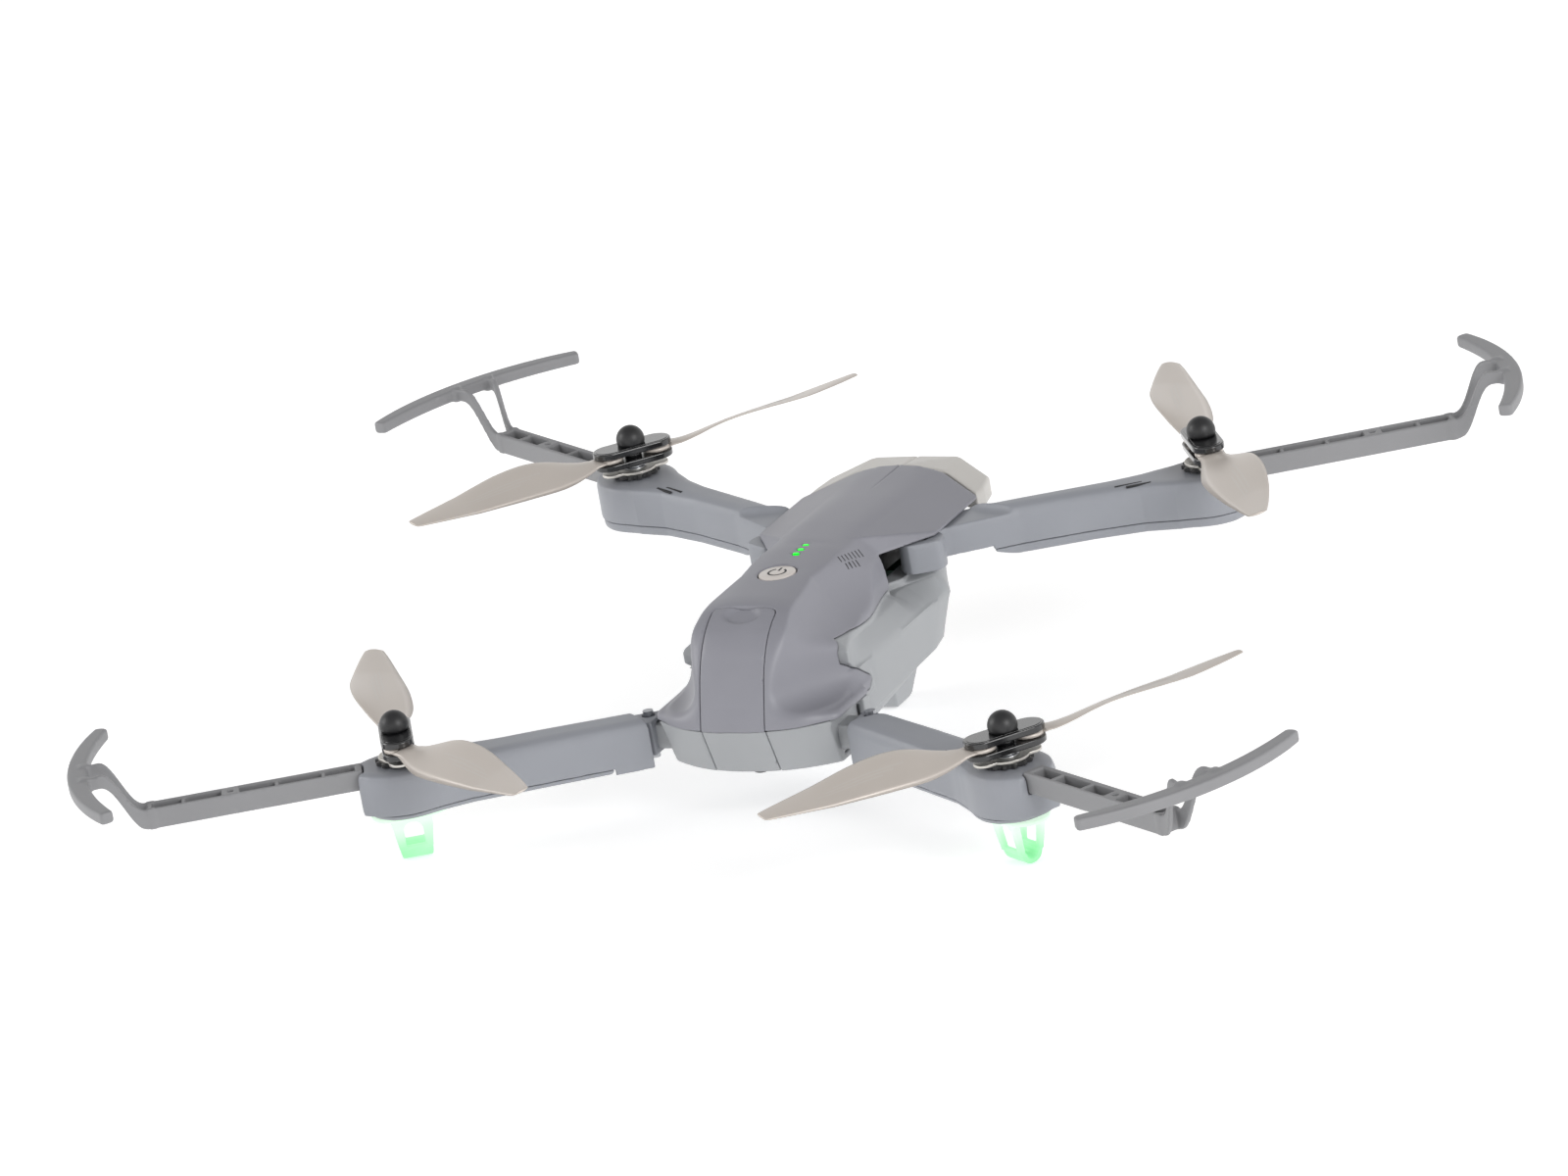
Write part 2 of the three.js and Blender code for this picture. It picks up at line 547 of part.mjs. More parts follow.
function armCover(arm) {
  const motor = motorAt(arm);
  const start = arm === ARMS.rear ? ROOT_END : 20.7;
  const lip = THIN + GAP + 1.4;
  const room = box(start + 2, motor + 9, -EXCESS, EXCESS, -EXCESS, EXCESS);
  const plate = cut(
    armBlock(arm, GAP / 2, arm.bottom, arm.seam - GAP), box(-30, start, -EXCESS, EXCESS, -EXCESS, EXCESS),
    armBlock(arm, lip, arm.bottom + THIN, EXCESS).intersect(room),
  );
  if (arm === ARMS.rear) return plate;
  const foot = turned([[0, -1], [2.2, -1], [2.6, -0.4], [2.6, 0.6], [0, 0.6]], 12);
  return join(plate, solid(geometryOf(foot).translate(motor - 2, arm.centre, arm.bottom)));
}

function motorCan(arm) {
  const top = arm.top - THIN - GAP;
  const bottom = arm.bottom + THIN + GAP + 0.2;
  const shaftTop = arm.capZ - 9;
  const edge = 0.8;
  return turned([
    [0, bottom], [MOTOR_R - edge, bottom], [MOTOR_R, bottom + edge], [MOTOR_R, top - edge],
    [MOTOR_R - edge, top], [2, top], [2, arm.top + 0.05], [1, arm.top + 0.05], [1, shaftTop], [0, shaftTop],
  ], 14);
}

// The guard: an open channel that plugs into the arm, two tines that rise and flare, and the bumper.
function guard(arm) {
  const motor = motorAt(arm);
  const { beamHalf: h, wall, height, reach, tineRun, bumperR, bumperHalf, bumperTall } = GUARD;
  const c = arm.centre;
  const z1 = arm.beamTop;
  const z0 = z1 - height;
  const low = arm.capZ + GUARD.bumperLow;
  const [start, end] = [motor + 11, motor + reach];
  const channel = cut(
    box(start, end, c - h, c + h, z0, z1),
    box(start + 2, end + 1, c - h + wall, c + h - wall, z0 + wall, z1 + 1),
  );
  const across = [c - h + 0.4, c + h - 0.4];
  const ribs = [21, 34, 60].map((u) => box(motor + u, motor + u + wall, ...across, z0 + 0.4, z1 - 0.4));
  const pad = cut(
    box(motor + 45, motor + 50, ...across, z0 + 0.4, z1), rod(motor + 47.5, c, 0.9, z1 - 2.4, z1 + 1, 8),
  );
  const tine = (s) => skin(Array.from({ length: 8 }, (_, i) => {
    const t = i / 7;
    const u = end - 1 + tineRun * t;
    const foot = THREE.MathUtils.lerp(z0, low, THREE.MathUtils.smootherstep(t, 0.05, 0.8));
    const flare = c + s * (h - wall / 2 + 2.9 * THREE.MathUtils.smoothstep(t, 0.1, 0.95));
    const tall = THREE.MathUtils.lerp(height, bumperTall, THREE.MathUtils.smoothstep(t, 0.2, 0.9));
    const w = wall / 2 + 0.25 * t;
    return [
      [u, flare - w, foot], [u, flare + w, foot], [u, flare + w, foot + tall], [u, flare - w, foot + tall],
    ];
  }));
  // the bumper: an arc about the motor, broad in the middle and slimmer at its ends
  const arcSteps = 12;
  const edge = 0.7;
  const bar = skin(Array.from({ length: arcSteps + 1 }, (_, i) => {
    const t = i / arcSteps;
    const turn = rad(THREE.MathUtils.lerp(...arm.guardSpan, t));
    const taper = Math.sin(Math.PI * THREE.MathUtils.clamp(t, 0.03, 0.97)) ** 0.5;
    const w = bumperHalf * (0.62 + 0.38 * taper);
    const point = (r, z) => [motor + r * Math.cos(turn), c + r * Math.sin(turn), z];
    return [
      point(bumperR - w, low), point(bumperR - w, low + bumperTall - edge),
      point(bumperR - w + edge, low + bumperTall), point(bumperR + w - edge, low + bumperTall),
      point(bumperR + w, low + bumperTall - edge), point(bumperR + w, low),
    ];
  }));
  return join(channel, ...ribs, pad, tine(1), tine(-1), bar);
}

// A rear leg: a translucent strap loop with an arched window, under a thin lens plate.
function leg(arm) {
  const motor = motorAt(arm);
  const c = arm.centre;
  const top = arm.bottom - GAP;
  const foot = GROUND;
  const [topHalf, footR, strapWall] = [5.4, 3.3, 1.5];
  const loop = (inset) => {
    const shape = new THREE.Shape();
    shape.moveTo(c - topHalf + inset, top - 0.2);
    shape.lineTo(c - footR + inset, foot + footR);
    shape.absarc(c, foot + footR, footR - inset, Math.PI, 2 * Math.PI, false);
    shape.lineTo(c + topHalf - inset, top - 0.2);
    return shape;
  };
  const [topRun, footRun, windowHalf] = [6.2, 4.2, 2.7];
  const taper = prismY([
    [motor - topRun, top], [motor + topRun, top], [motor + footRun, foot], [motor - footRun, foot],
  ], -EXCESS, EXCESS);
  const across = [motor - topRun - 1, motor + topRun + 1];
  const strap = cut(prismX(loop(0), ...across, 6), prismX(loop(strapWall), ...across, 6));
  const window = new THREE.Shape();
  window.moveTo(motor - windowHalf, foot + 4.6);
  window.lineTo(motor + windowHalf, foot + 4.6);
  window.lineTo(motor + windowHalf, foot + 9);
  window.absarc(motor, foot + 9, windowHalf, 0, Math.PI, false);
  const lens = geometryOf(prism(stadium(4.6, 6.4), top - 1.2, top, 6)).translate(motor, c, 0);
  return join(cut(strap.intersect(taper), prismY(window, -EXCESS, EXCESS, 6)), solid(lens));
}

// ---------- propellers, in a frame at the cap's centre with x along the hub ----------
// The light metal plate under the hub, with a toothed ring below it.
function rotorPlate() {
  const teeth = 7;
  const toothed = Array.from({ length: 4 * teeth }, (_, i) => {
    const turn = (2 * Math.PI * i) / (4 * teeth);
    const r = i % 4 < 2 ? 7 : 5.9;
    return [r * Math.cos(turn), r * Math.sin(turn)];
  });
  const [ringZ, plateZ] = [[-10.3, -9], [-9.2, -8.3]];
  const ears = join(prism(stadium(7.2, 3), ...plateZ, 4), rod(0, 0, 6.1, ...plateZ, 16));
  const boss = rod(0, 0, 3.6, plateZ[1] - 0.1, ROTOR.lowPlate[0] - GAP, 12);
  return cut(join(ears, boss, prism(toothed, ...ringZ)), rod(0, 0, ROTOR.boltR + GAP, -12, -8.6, 8));
}

function hubLower() {
  const [z0, z1] = ROTOR.lowPlate;
  const under = ROTOR.topPlate[0];
  const post = (s) => rod(s * ROTOR.pin, 0, ROTOR.boltR, z1 - 0.2, under - 0.1, 8);
  const spindle = rod(0, 0, 2.4, z1 - 0.2, under - GAP, 12);
  return join(prism(stadium(ROTOR.pin, ROTOR.plateR), z0, z1, 6), spindle, post(1), post(-1));
}

function hubUpper() {
  const [z0, z1] = ROTOR.topPlate;
  const edge = 0.5;
  const ring = (grow, z) => stadium(ROTOR.pin, ROTOR.plateR + grow).getPoints(6).map((p) => [p.x, p.y, z]);
  const hole = (s) => rod(s * ROTOR.pin, 0, ROTOR.boltR + GAP, z0 - 1, z0 + 0.6, 8);
  return cut(skin([ring(0, z0), ring(0, z1 - edge), ring(-edge, z1)]), hole(1), hole(-1));
}

function cap() {
  const base = ROTOR.topPlate[1] + GAP;
  const from = Math.asin(base / ROTOR.capR);
  const steps = 4;
  const dome = Array.from({ length: steps }, (_, i) => {
    const t = THREE.MathUtils.lerp(from, Math.PI / 2, i / steps);
    return [ROTOR.capR * Math.cos(t), ROTOR.capR * Math.sin(t)];
  });
  return turned([[0, base], ...dome, [0, ROTOR.capR]], 14);
}

// One blade, from its pin along x; lead is the side (+1 or -1 in y) of the raised leading edge.
function blade(lead) {
  const { length, root, tip, twist } = BLADE;
  // distance from the pin, chord there, and how much of the twist has come in
  const stations = [
    [5.2, root, 0], [8, root + 0.8, 0.35], [12, 11.6, 0.8], [17, 15.4, 1], [23, BLADE.chord, 0.98],
    [34, 15.6, 0.8], [47, 11.6, 0.6], [60, 7.4, 0.46], [length, tip, 0.38],
  ];
  // the section: fractions of the chord from the trailing edge to the leading one and back
  const section = [[0.5, 0.15], [0.25, 0.8], [-0.2, 0.7], [-0.5, 0], [-0.2, -0.35], [0.25, -0.25]];
  const rings = stations.map(([x, width, turn]) => {
    const pitch = rad(twist * turn);
    const lift = 1.1 * Math.sin((Math.PI * THREE.MathUtils.clamp(x - 8, 0, 40)) / 40) - 0.5;
    const thick = 0.75 * THREE.MathUtils.lerp(ROTOR.bladeRoot, 0.7, x / length);
    const sweep = turn > 0 ? 1.4 * Math.sin((Math.PI * x) / length) : 0;
    return section.map(([chordwise, up]) => {
      const y = chordwise * width + sweep;
      const z = up * thick;
      return [
        x, lead * (y * Math.cos(pitch) - z * Math.sin(pitch)),
        ROTOR.bladeZ + lift * turn + y * Math.sin(pitch) + z * Math.cos(pitch),
      ];
    });
  });
  const [z0, z1] = [ROTOR.bladeZ - ROTOR.bladeRoot / 2, ROTOR.bladeZ + ROTOR.bladeRoot / 2];
  const neck = root / 2 - 0.3;
  const eye = join(rod(0, 0, root / 2, z0, z1, 14), box(0, 5.4, -neck, neck, z0, z1));
  const wing = skin(lead > 0 ? rings : rings.map((ring) => ring.toReversed()));
  return cut(join(eye, wing), rod(0, 0, ROTOR.boltR + GAP, -10, 0, 8));
}

// ---------- camera, board and small pieces ----------
function cameraPod() {
  const { y, z, r, half } = CAMERA;
  const face = y + r + 1.2;
  const drum = rodX(y, z, r, -half, half, 24);
  const snout = rodY(0, z, 6.2, y + 4, face, 20);
  const trunnions = rodX(y, z, 1.6, -half - 2.4, half + 2.4, 12);
  return cut(join(drum, snout, trunnions), rodY(0, z, 5, y + r - 1, face + 3, 20));
}

function cameraLens() {
  const { y, z, r } = CAMERA;
  const glass = turned([[0, 0], [4.6, 0], [4.6, 0.9], [3.4, 1.2], [2, 1.5], [0, 1.6]], 16);
  return solid(geometryOf(glass).rotateX(-Math.PI / 2).translate(0, y + r - 1 + GAP, z));
}

function cameraBracket() {
  const { y, z, half } = CAMERA;
  const [near, far] = [half + 1, half + 3];
  const back = box(-far, far, 123.8, 125.6, z - 6, z + 6);
  const cheek = join(box(near, far, 125, y, z - 4, z + 4), rodX(y, z, 4, near, far, 20));
  return join(back, bothSides(cut(cheek, rodX(y, z, 1.6 + GAP, -EXCESS, EXCESS, 12))));
}

function circuitBoard() {
  const chips = [
    box(-5, 5, 96, 106, -1.1, 0.9), box(-10, -6.5, 108, 116, -1.1, 1.6), box(6, 11, 110, 115, -1.1, 1.2),
  ];
  return join(box(-15, 15, 88, 119.5, -2.6, -1), ...chips);
}

function lightPipe() {
  const studs = LIGHT_YS.map((y) => box(-1.2, 1.2, y - 0.5, y + 0.5, 16.6, 21.3));
  return join(box(-2.4, 2.4, LIGHT_YS[0] - 2, LIGHT_YS[2] + 2, 15.8, 17.2), ...studs);
}

function powerButton() {
  const { r, z } = BUTTON;
  const [flange, travelRoom] = [r + 0.9, 2.5];
  return turned([
    [0, z - 3.6], [flange, z - 3.6], [flange, z - travelRoom], [r, z - travelRoom], [r, z - 0.25],
    [r - 0.4, z], [0, z],
  ], 24);
}

function flowLens() {
  return turned([
    [0, -26.9], [2, -26.9], [2.6, -26.2], [2.6, -25.1], [1.6, -25.1], [1.6, -23], [0, -23],
  ], 16);
}

// ---------- the drone ----------
const object = new THREE.Group();

function add(name, manifold, finish, parent = object, y = 0) {
  const mesh = new THREE.Mesh(geometryOf(manifold), finish);
  mesh.name = name;
  mesh.position.y = y;
  parent.add(mesh);
}

function group(parent, x, y, z, turn) {
  const made = new THREE.Group();
  made.position.set(x, y, z);
  made.rotation.z = rad(turn);
  parent.add(made);
  return made;
}

add('lower_shell', lowerShell(), FINISH.shell);
add('top_cover', topCover(), FINISH.cover);
add('front_hood', hood(), FINISH.hood);
add('main_circuit_board', circuitBoard(), FINISH.board);
add('battery_level_lights', lightPipe(), FINISH.light);
add('optical_flow_lens', flowLens(), FINISH.black, object, FLOW_LENS_Y);
add('camera_bracket', cameraBracket(), FINISH.black);
add('camera_pod', cameraPod(), FINISH.black);
add('camera_lens', cameraLens(), FINISH.gloss);
add('battery_case', batteryCase(), FINISH.cover);
add('battery_cell', box(-7.3, 7.3, 36.5, 80, -19.2, 12.7), FINISH.black);
add('battery_contacts', box(-6.5, 6.5, 80.6, 84.4, -8, 4), FINISH.metal);
add('power_button', powerButton(), FINISH.button, object, BUTTON.y);

const plate = rotorPlate();
const [lower, upper, dome] = [hubLower(), hubUpper(), cap()];
const blades = { 1: blade(1), '-1': blade(-1) };
const rightArms = Object.fromEntries(Object.entries(ARMS).map(([end, arm]) => [end, {
  arm_shell: end === 'rear' ? rearArmShell(arm) : frontArmShell(arm),
  arm_bottom_cover: armCover(arm),
  guard: guard(arm),
  ...(end === 'rear' ? { leg: leg(arm) } : {}),
}]));
const armFinish = {
  arm_shell: FINISH.arm, arm_bottom_cover: FINISH.arm, guard: FINISH.guard, leg: FINISH.glow,
};

for (const { name, end, side, hub, swings, turn } of PROPELLERS) {
  const arm = ARMS[end];
  const frame = group(object, side * arm.pivot[0], arm.pivot[1], 0, side > 0 ? arm.angle : 180 - arm.angle);
  for (const [piece, right] of Object.entries(rightArms[end])) {
    add(`${name}_${piece}`, side > 0 ? right : mirrored(right, 1), armFinish[piece], frame);
  }
  add(`${name}_motor`, motorCan(arm), FINISH.steel, group(frame, motorAt(arm), side * arm.centre, 0, 0));
  const pinZ = end === 'rear' ? [arm.bottom + 0.2, arm.top] : [LEDGE_Z + GAP, SLOT_TOP - GAP];
  add(`${name}_hinge_pin`, rod(0, 0, PIN_R, ...pinZ, 12), FINISH.steel, frame);

  const rotor = group(object, side * arm.motor[0], arm.motor[1], arm.capZ, hub);
  add(`${name}_rotor_plate`, plate, FINISH.metal, rotor);
  add(`${name}_hub_lower`, lower, FINISH.gloss, rotor);
  add(`${name}_hub_upper`, upper, FINISH.gloss, rotor);
  add(`${name}_cap`, dome, FINISH.soft, rotor);
  swings.forEach((swing, i) => {
    const hinge = group(rotor, i ? -ROTOR.pin : ROTOR.pin, 0, 0, swing + 180 * i);
    add(`${name}_blade_${'ab'[i]}`, blades[turn], FINISH.blade, hinge);
  });
}

// the origin goes to the ground under the middle of the drone
object.updateMatrixWorld(true);
const extent = new THREE.Box3().setFromObject(object);
const middle = extent.getCenter(new THREE.Vector3());
object.position.set(-middle.x, -middle.y, -extent.min.z);

export default object;
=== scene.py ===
# Looks for the folding camera drone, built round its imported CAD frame.
# Shapes are worked out in millimetres from a datum in the symmetry plane, level with the rear
# propeller caps and in line with the rear motor shafts, then moved into the row frame in metres.
import math

import bpy
import numpy as np
import openvdb as vdb
from mathutils import Matrix, Vector


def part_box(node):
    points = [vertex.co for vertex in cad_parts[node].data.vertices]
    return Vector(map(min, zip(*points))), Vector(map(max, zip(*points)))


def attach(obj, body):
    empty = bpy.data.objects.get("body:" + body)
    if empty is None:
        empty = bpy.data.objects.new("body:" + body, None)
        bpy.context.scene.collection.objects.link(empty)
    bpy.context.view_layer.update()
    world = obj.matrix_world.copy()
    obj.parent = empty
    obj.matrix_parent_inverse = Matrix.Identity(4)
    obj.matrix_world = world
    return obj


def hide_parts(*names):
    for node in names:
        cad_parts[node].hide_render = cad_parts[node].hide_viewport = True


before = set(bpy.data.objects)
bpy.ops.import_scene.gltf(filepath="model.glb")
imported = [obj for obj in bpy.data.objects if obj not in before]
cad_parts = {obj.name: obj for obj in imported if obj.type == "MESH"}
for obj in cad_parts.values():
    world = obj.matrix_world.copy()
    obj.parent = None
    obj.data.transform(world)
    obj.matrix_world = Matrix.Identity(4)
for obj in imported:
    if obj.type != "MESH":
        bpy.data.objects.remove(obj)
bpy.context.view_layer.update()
VOXEL = 0.36

# ---------- dimensions shared with the CAD ----------
GAP = 0.3  # round moving parts, and behind the hood
SEAM = 0.14  # between shells that are fixed to each other
WALL = 1.8
GROUND = -38.7
BUTTON_Y, BUTTON_TOP = 62.7, 20.5
BATTERY_HALF = 9.8  # half the width of the tail strip
STRIP_TOP_Y = 40.8  # upper end of the tail strip
BAND_Z = -10.5  # top of the pale tail band
LEDGE_Z = 4.2  # top of the lower shell's flanks
ROOT_Z = 5.5  # underside of a front arm's root
SLOT_TOP, SLOT_Y = 14.3, 92  # roof and back end of the slots for the front arms
SCOOP_R = 84  # scoop that a rear propeller turns in, round its shaft
MOTOR_X = 92  # rear motor shafts
SHOULDER_HALF = 27.4
LIGHT_YS = (75.5, 78.8, 82.1)
CAMERA_Y = 136
PIN = 7.2  # hub centre to blade pin
BLADE_Z = -4.25
BLADE_LONG = 67.4  # blade pin to blade tip
BEAM_TALL = 5.8
BUMPER_R, BUMPER_TALL = 88, 3.5  # guard's bumper: radius round the motor and height
HINGE_R = 1.8  # bore for a hinge pin

button_low, button_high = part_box("power_button")
DATUM = np.array([
    0.0,
    (button_low[1] + button_high[1]) * 500 - BUTTON_Y,
    button_high[2] * 1000 - BUTTON_TOP,
])

# start: where the bottom cover begins; beam: top of the guard's beam; cap: centre of the rubber dome;
# span: angles of the bumper's ends; seam: between the shell and the bottom cover
ARMS = {
    "rear": dict(
        pivot=(34, 38), angle=-29.9, motor=(MOTOR_X, 0), centre=-4.03, half=6.7, pod=11.5,
        top=-10.6, bottom=-24.4, seam=-22.6, beam=-10.1, cap=0.0, span=(-24.2, 24.1), start=12.0,
    ),
    "front": dict(
        pivot=(23.3, 106), angle=31.1, motor=(89.5, 157), centre=9.5, half=6.7, pod=11.5,
        top=15.7, bottom=1.5, seam=4.6, beam=16.8, cap=26.5, span=(-24.4, 23.1), start=20.7,
    ),
}
# name, arm, side, angle of the hub, swing of each blade and sense of rotation
PROPELLERS = (
    ("rear_right", "rear", 1, 51, (3.5, 3), -1),
    ("rear_left", "rear", -1, 120, (2, 27), 1),
    ("front_right", "front", 1, 125, (-6.3, -1), 1),
    ("front_left", "front", -1, 46, (8.6, 13), -1),
)


# ---------- distance fields ----------
class Grid:
    """Sample points of a box, with broadcastable x, y and z."""

    def __init__(self, low, high, step=VOXEL):
        self.low, self.step = np.array(low, float), step
        counts = [int(math.ceil((b - a) / step)) + 1 for a, b in zip(low, high)]
        self.x, self.y, self.z = (
            (low[k] + step * np.arange(counts[k], dtype=np.float32)).reshape(
                [-1 if i == k else 1 for i in range(3)]
            ).astype(np.float32)
            for k in range(3)
        )


def both(a, b, k=0.6):
    """Rounded intersection."""
    h = np.clip(0.5 + 0.5 * (a - b) / k, 0, 1)
    return b + (a - b) * h + k * h * (1 - h)


def either(a, b, k=0.6):
    """Filleted union."""
    return -both(-a, -b, k)


def less(a, b, k=0.6):
    """a with b taken away."""
    return both(a, -b, k)


def polygon(points, p, q):
    """Signed distance to a polygon in the plane of p and q."""
    nearest, inside = None, False
    for i, (ax, ay) in enumerate(points):
        bx, by = points[i - 1]
        ex, ey = bx - ax, by - ay
        wx, wy = p - ax, q - ay
        t = np.clip((wx * ex + wy * ey) / (ex * ex + ey * ey), 0, 1)
        far = (wx - ex * t) ** 2 + (wy - ey * t) ** 2
        nearest = far if nearest is None else np.minimum(nearest, far)
        a, b, c = q >= ay, q < by, ex * wy > ey * wx
        inside = inside ^ ((a & b & c) | ~(a | b | c))
    return np.where(inside, -1, 1).astype(np.float32) * np.sqrt(nearest)


def block(g, x0, x1, y0, y1, z0, z1, k=0.5):
    """A box with rounded edges."""
    fx = np.maximum(x0 - g.x, g.x - x1)
    fy = np.maximum(y0 - g.y, g.y - y1)
    fz = np.maximum(z0 - g.z, g.z - z1)
    return both(both(fx, fy, k), fz, k)


def tube(a, b, ca, cb, r):
    return np.sqrt((a - ca) ** 2 + (b - cb) ** 2) - r


def smooth(t):
    t = np.clip(t, 0, 1)
    return t * t * (3 - 2 * t)


def keyed(keys, y):
    """Smooth value at y from a short list of (y, value) keys."""
    out = np.full(np.shape(y), keys[0][1], np.float32)
    for (y0, v0), (y1, v1) in zip(keys, keys[1:]):
        out = np.where(y > y0, v0 + (v1 - v0) * smooth((y - y0) / (y1 - y0)), out)
    return out


def ramp(keys, y):
    """Straight-line value at y."""
    return np.interp(y, [k[0] for k in keys], [k[1] for k in keys]).astype(np.float32)


# ---------- meshes ----------
def make_mesh(name, verts, faces, normals=None):
    """A smooth mesh object from arrays of corners and of faces with 3 or 4 corners."""
    mesh = bpy.data.meshes.new(name)
    faces = [np.asarray(f, np.int32) for f in faces if len(f)]
    sizes = np.concatenate([np.full(len(f), f.shape[1], np.int32) for f in faces])
    loops = np.concatenate([f.ravel() for f in faces])
    mesh.vertices.add(len(verts))
    mesh.vertices.foreach_set("co", np.asarray(verts, np.float32).ravel())
    mesh.loops.add(len(loops))
    mesh.loops.foreach_set("vertex_index", loops)
    mesh.polygons.add(len(sizes))
    starts = np.concatenate([[0], np.cumsum(sizes)[:-1]]).astype(np.int32)
    mesh.polygons.foreach_set("loop_start", starts)
    mesh.polygons.foreach_set("use_smooth", np.ones(len(sizes), bool))
    mesh.update(calc_edges=True)
    mesh.validate()
    if normals is not None and len(mesh.vertices) == len(normals):
        mesh.normals_split_custom_set_from_vertices(normals.tolist())
    obj = bpy.data.objects.new(name, mesh)
    bpy.context.scene.collection.objects.link(obj)
    return obj


def sample(field, at):
    """The field's value between grid points."""
    base = np.clip(np.floor(at).astype(int), 0, np.array(field.shape) - 2)
    part = at - base
    out = 0
    for i in (0, 1):
        for j in (0, 1):
            for k in (0, 1):
                weight = np.prod(np.abs(1 - np.array([i, j, k]) - part), axis=1)
                out = out + weight * field[base[:, 0] + i, base[:, 1] + j, base[:, 2] + k]
    return out


def surface(field, g, twin=False):
    """Corners in millimetres, faces and normals of the field's zero surface; twin adds the x < 0 half."""
    limit = 3 * g.step
    low = g.low.copy()
    field = np.clip(field, -limit, limit).astype(np.float32)
    if twin:
        field = np.concatenate([field[:0:-1], field])
        low[0] = -(field.shape[0] // 2) * g.step
    field = np.pad(field, 2, constant_values=limit)
    low -= 2 * g.step
    grid = vdb.FloatGrid(limit)
    grid.copyFromArray(field)
    points, triangles, quads = grid.convertToPolygons(isovalue=0.0, adaptivity=0.02)
    slope = np.stack([
        sample(field, points + axis * 0.6) - sample(field, points - axis * 0.6) for axis in np.eye(3)
    ], 1)
    normals = slope / np.maximum(np.linalg.norm(slope, axis=1), 1e-6)[:, None]
    faces = [f for f in (triangles, quads) if len(f)]
    first = faces[0]
    a, b, c = (points[first[:, n]] for n in range(3))
    if np.sum(np.cross(b - a, c - a) * normals[first[:, 0]]) < 0:
        faces = [f[:, ::-1] for f in faces]
    return points * g.step + low, faces, normals


def turn_z(deg):
    c, s = math.cos(math.radians(deg)), math.sin(math.radians(deg))
    return np.array([[c, -s, 0], [s, c, 0], [0, 0, 1]])


def put(name, made, body, material, node=None, turn=None, shift=(0, 0, 0), side=1):
    """Turns, moves and, for the left side, mirrors what was made; then hangs it on its body."""
    verts, faces, normals = made
    turn = np.eye(3) if turn is None else turn
    verts = verts @ turn.T + np.array(shift)
    normals = None if normals is None else normals @ turn.T
    if side < 0:
        verts = verts * (-1, 1, 1)
        normals = None if normals is None else normals * (-1, 1, 1)
        faces = [f[:, ::-1] for f in faces]
    obj = make_mesh(name, (verts + DATUM) / 1000, faces, normals)
    obj.data.materials.append(material)
    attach(obj, body)
    if node:
        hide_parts(node)
    return obj


def bevelled(obj, width, segments=2):
    mod = obj.modifiers.new("edges", "BEVEL")
    mod.width, mod.segments = width / 1000, segments
    mod.limit_method, mod.angle_limit = "ANGLE", math.radians(35)
    mod.harden_normals = True
    return obj


def upright(outline, z0, z1):
    """A prism on an outline in x and y."""
    n = len(outline)
    verts = [(x, y, z0) for x, y in outline] + [(x, y, z1) for x, y in outline]
    verts += [(*np.mean(outline, 0), z0), (*np.mean(outline, 0), z1)]
    ring = np.arange(n)
    after = (ring + 1) % n
    sides = np.stack([ring, after, after + n, ring + n], 1)
    caps = np.concatenate([
        np.stack([after, ring, np.full(n, 2 * n)], 1),
        np.stack([ring + n, after + n, np.full(n, 2 * n + 1)], 1),
    ])
    return np.array(verts, float), [caps, sides], None


def rectangle(x0, x1, y0, y1):
    return [(x0, y0), (x1, y0), (x1, y1), (x0, y1)]


def stadium(half, r, steps=16):
    t = np.linspace(-math.pi / 2, math.pi / 2, steps)
    right = [(half + r * math.cos(a), r * math.sin(a)) for a in t]
    return right + [(-x, -y) for x, y in right]


def circle(r, steps=40, x=0.0):
    angles = [2 * math.pi * i / steps for i in range(steps)]
    return [(x + r * math.cos(a), r * math.sin(a)) for a in angles]


def lathe(profile, steps=48):
    """A profile of (radius, z) turned about z; it starts and ends on the axis."""
    angles = np.linspace(0, 2 * math.pi, steps, endpoint=False)
    inner = profile[1:-1]
    verts = [(r * math.cos(a), r * math.sin(a), z) for r, z in inner for a in angles]
    verts += [(0, 0, profile[0][1]), (0, 0, profile[-1][1])]
    low, high = len(verts) - 2, len(verts) - 1
    ring = np.arange(steps)
    after = (ring + 1) % steps
    sides = np.concatenate([
        np.stack([ring, after, after + steps, ring + steps], 1) + k * steps for k in range(len(inner) - 1)
    ])
    last = (len(inner) - 1) * steps
    caps = np.concatenate([
        np.stack([after, ring, np.full(steps, low)], 1),
        np.stack([ring + last, after + last, np.full(steps, high)], 1),
    ])
    return np.array(verts, float), [caps, sides], None


def loft(rings):
    """A closed skin through rings of equally many points."""
    rings = np.array(rings, float)
    count, n = rings.shape[:2]
    ring = np.arange(n)
    after = (ring + 1) % n
    sides = np.concatenate([
        np.stack([ring, after, after + n, ring + n], 1) + k * n for k in range(count - 1)
    ])
    verts = np.concatenate([rings.reshape(-1, 3), rings[0].mean(0)[None], rings[-1].mean(0)[None]])
    last = (count - 1) * n
    caps = np.concatenate([
        np.stack([after, ring, np.full(n, count * n)], 1),
        np.stack([ring + last, after + last, np.full(n, count * n + 1)], 1),
    ])
    return verts, [caps, sides], None


def new_material(name):
    material = bpy.data.materials.new(name)
    material.use_nodes = True
    tree = material.node_tree
    return material, tree.nodes, tree.links, tree.nodes["Principled BSDF"]


def texture(nodes, links, scale, detail=2.0):
    """Noise laid on the piece in its own coordinates."""
    place = nodes.new("ShaderNodeTexCoord")
    noise = nodes.new("ShaderNodeTexNoise")
    noise.inputs["Scale"].default_value = scale
    noise.inputs["Detail"].default_value = detail
    links.new(place.outputs["Object"], noise.inputs["Vector"])
    return noise.outputs["Fac"]


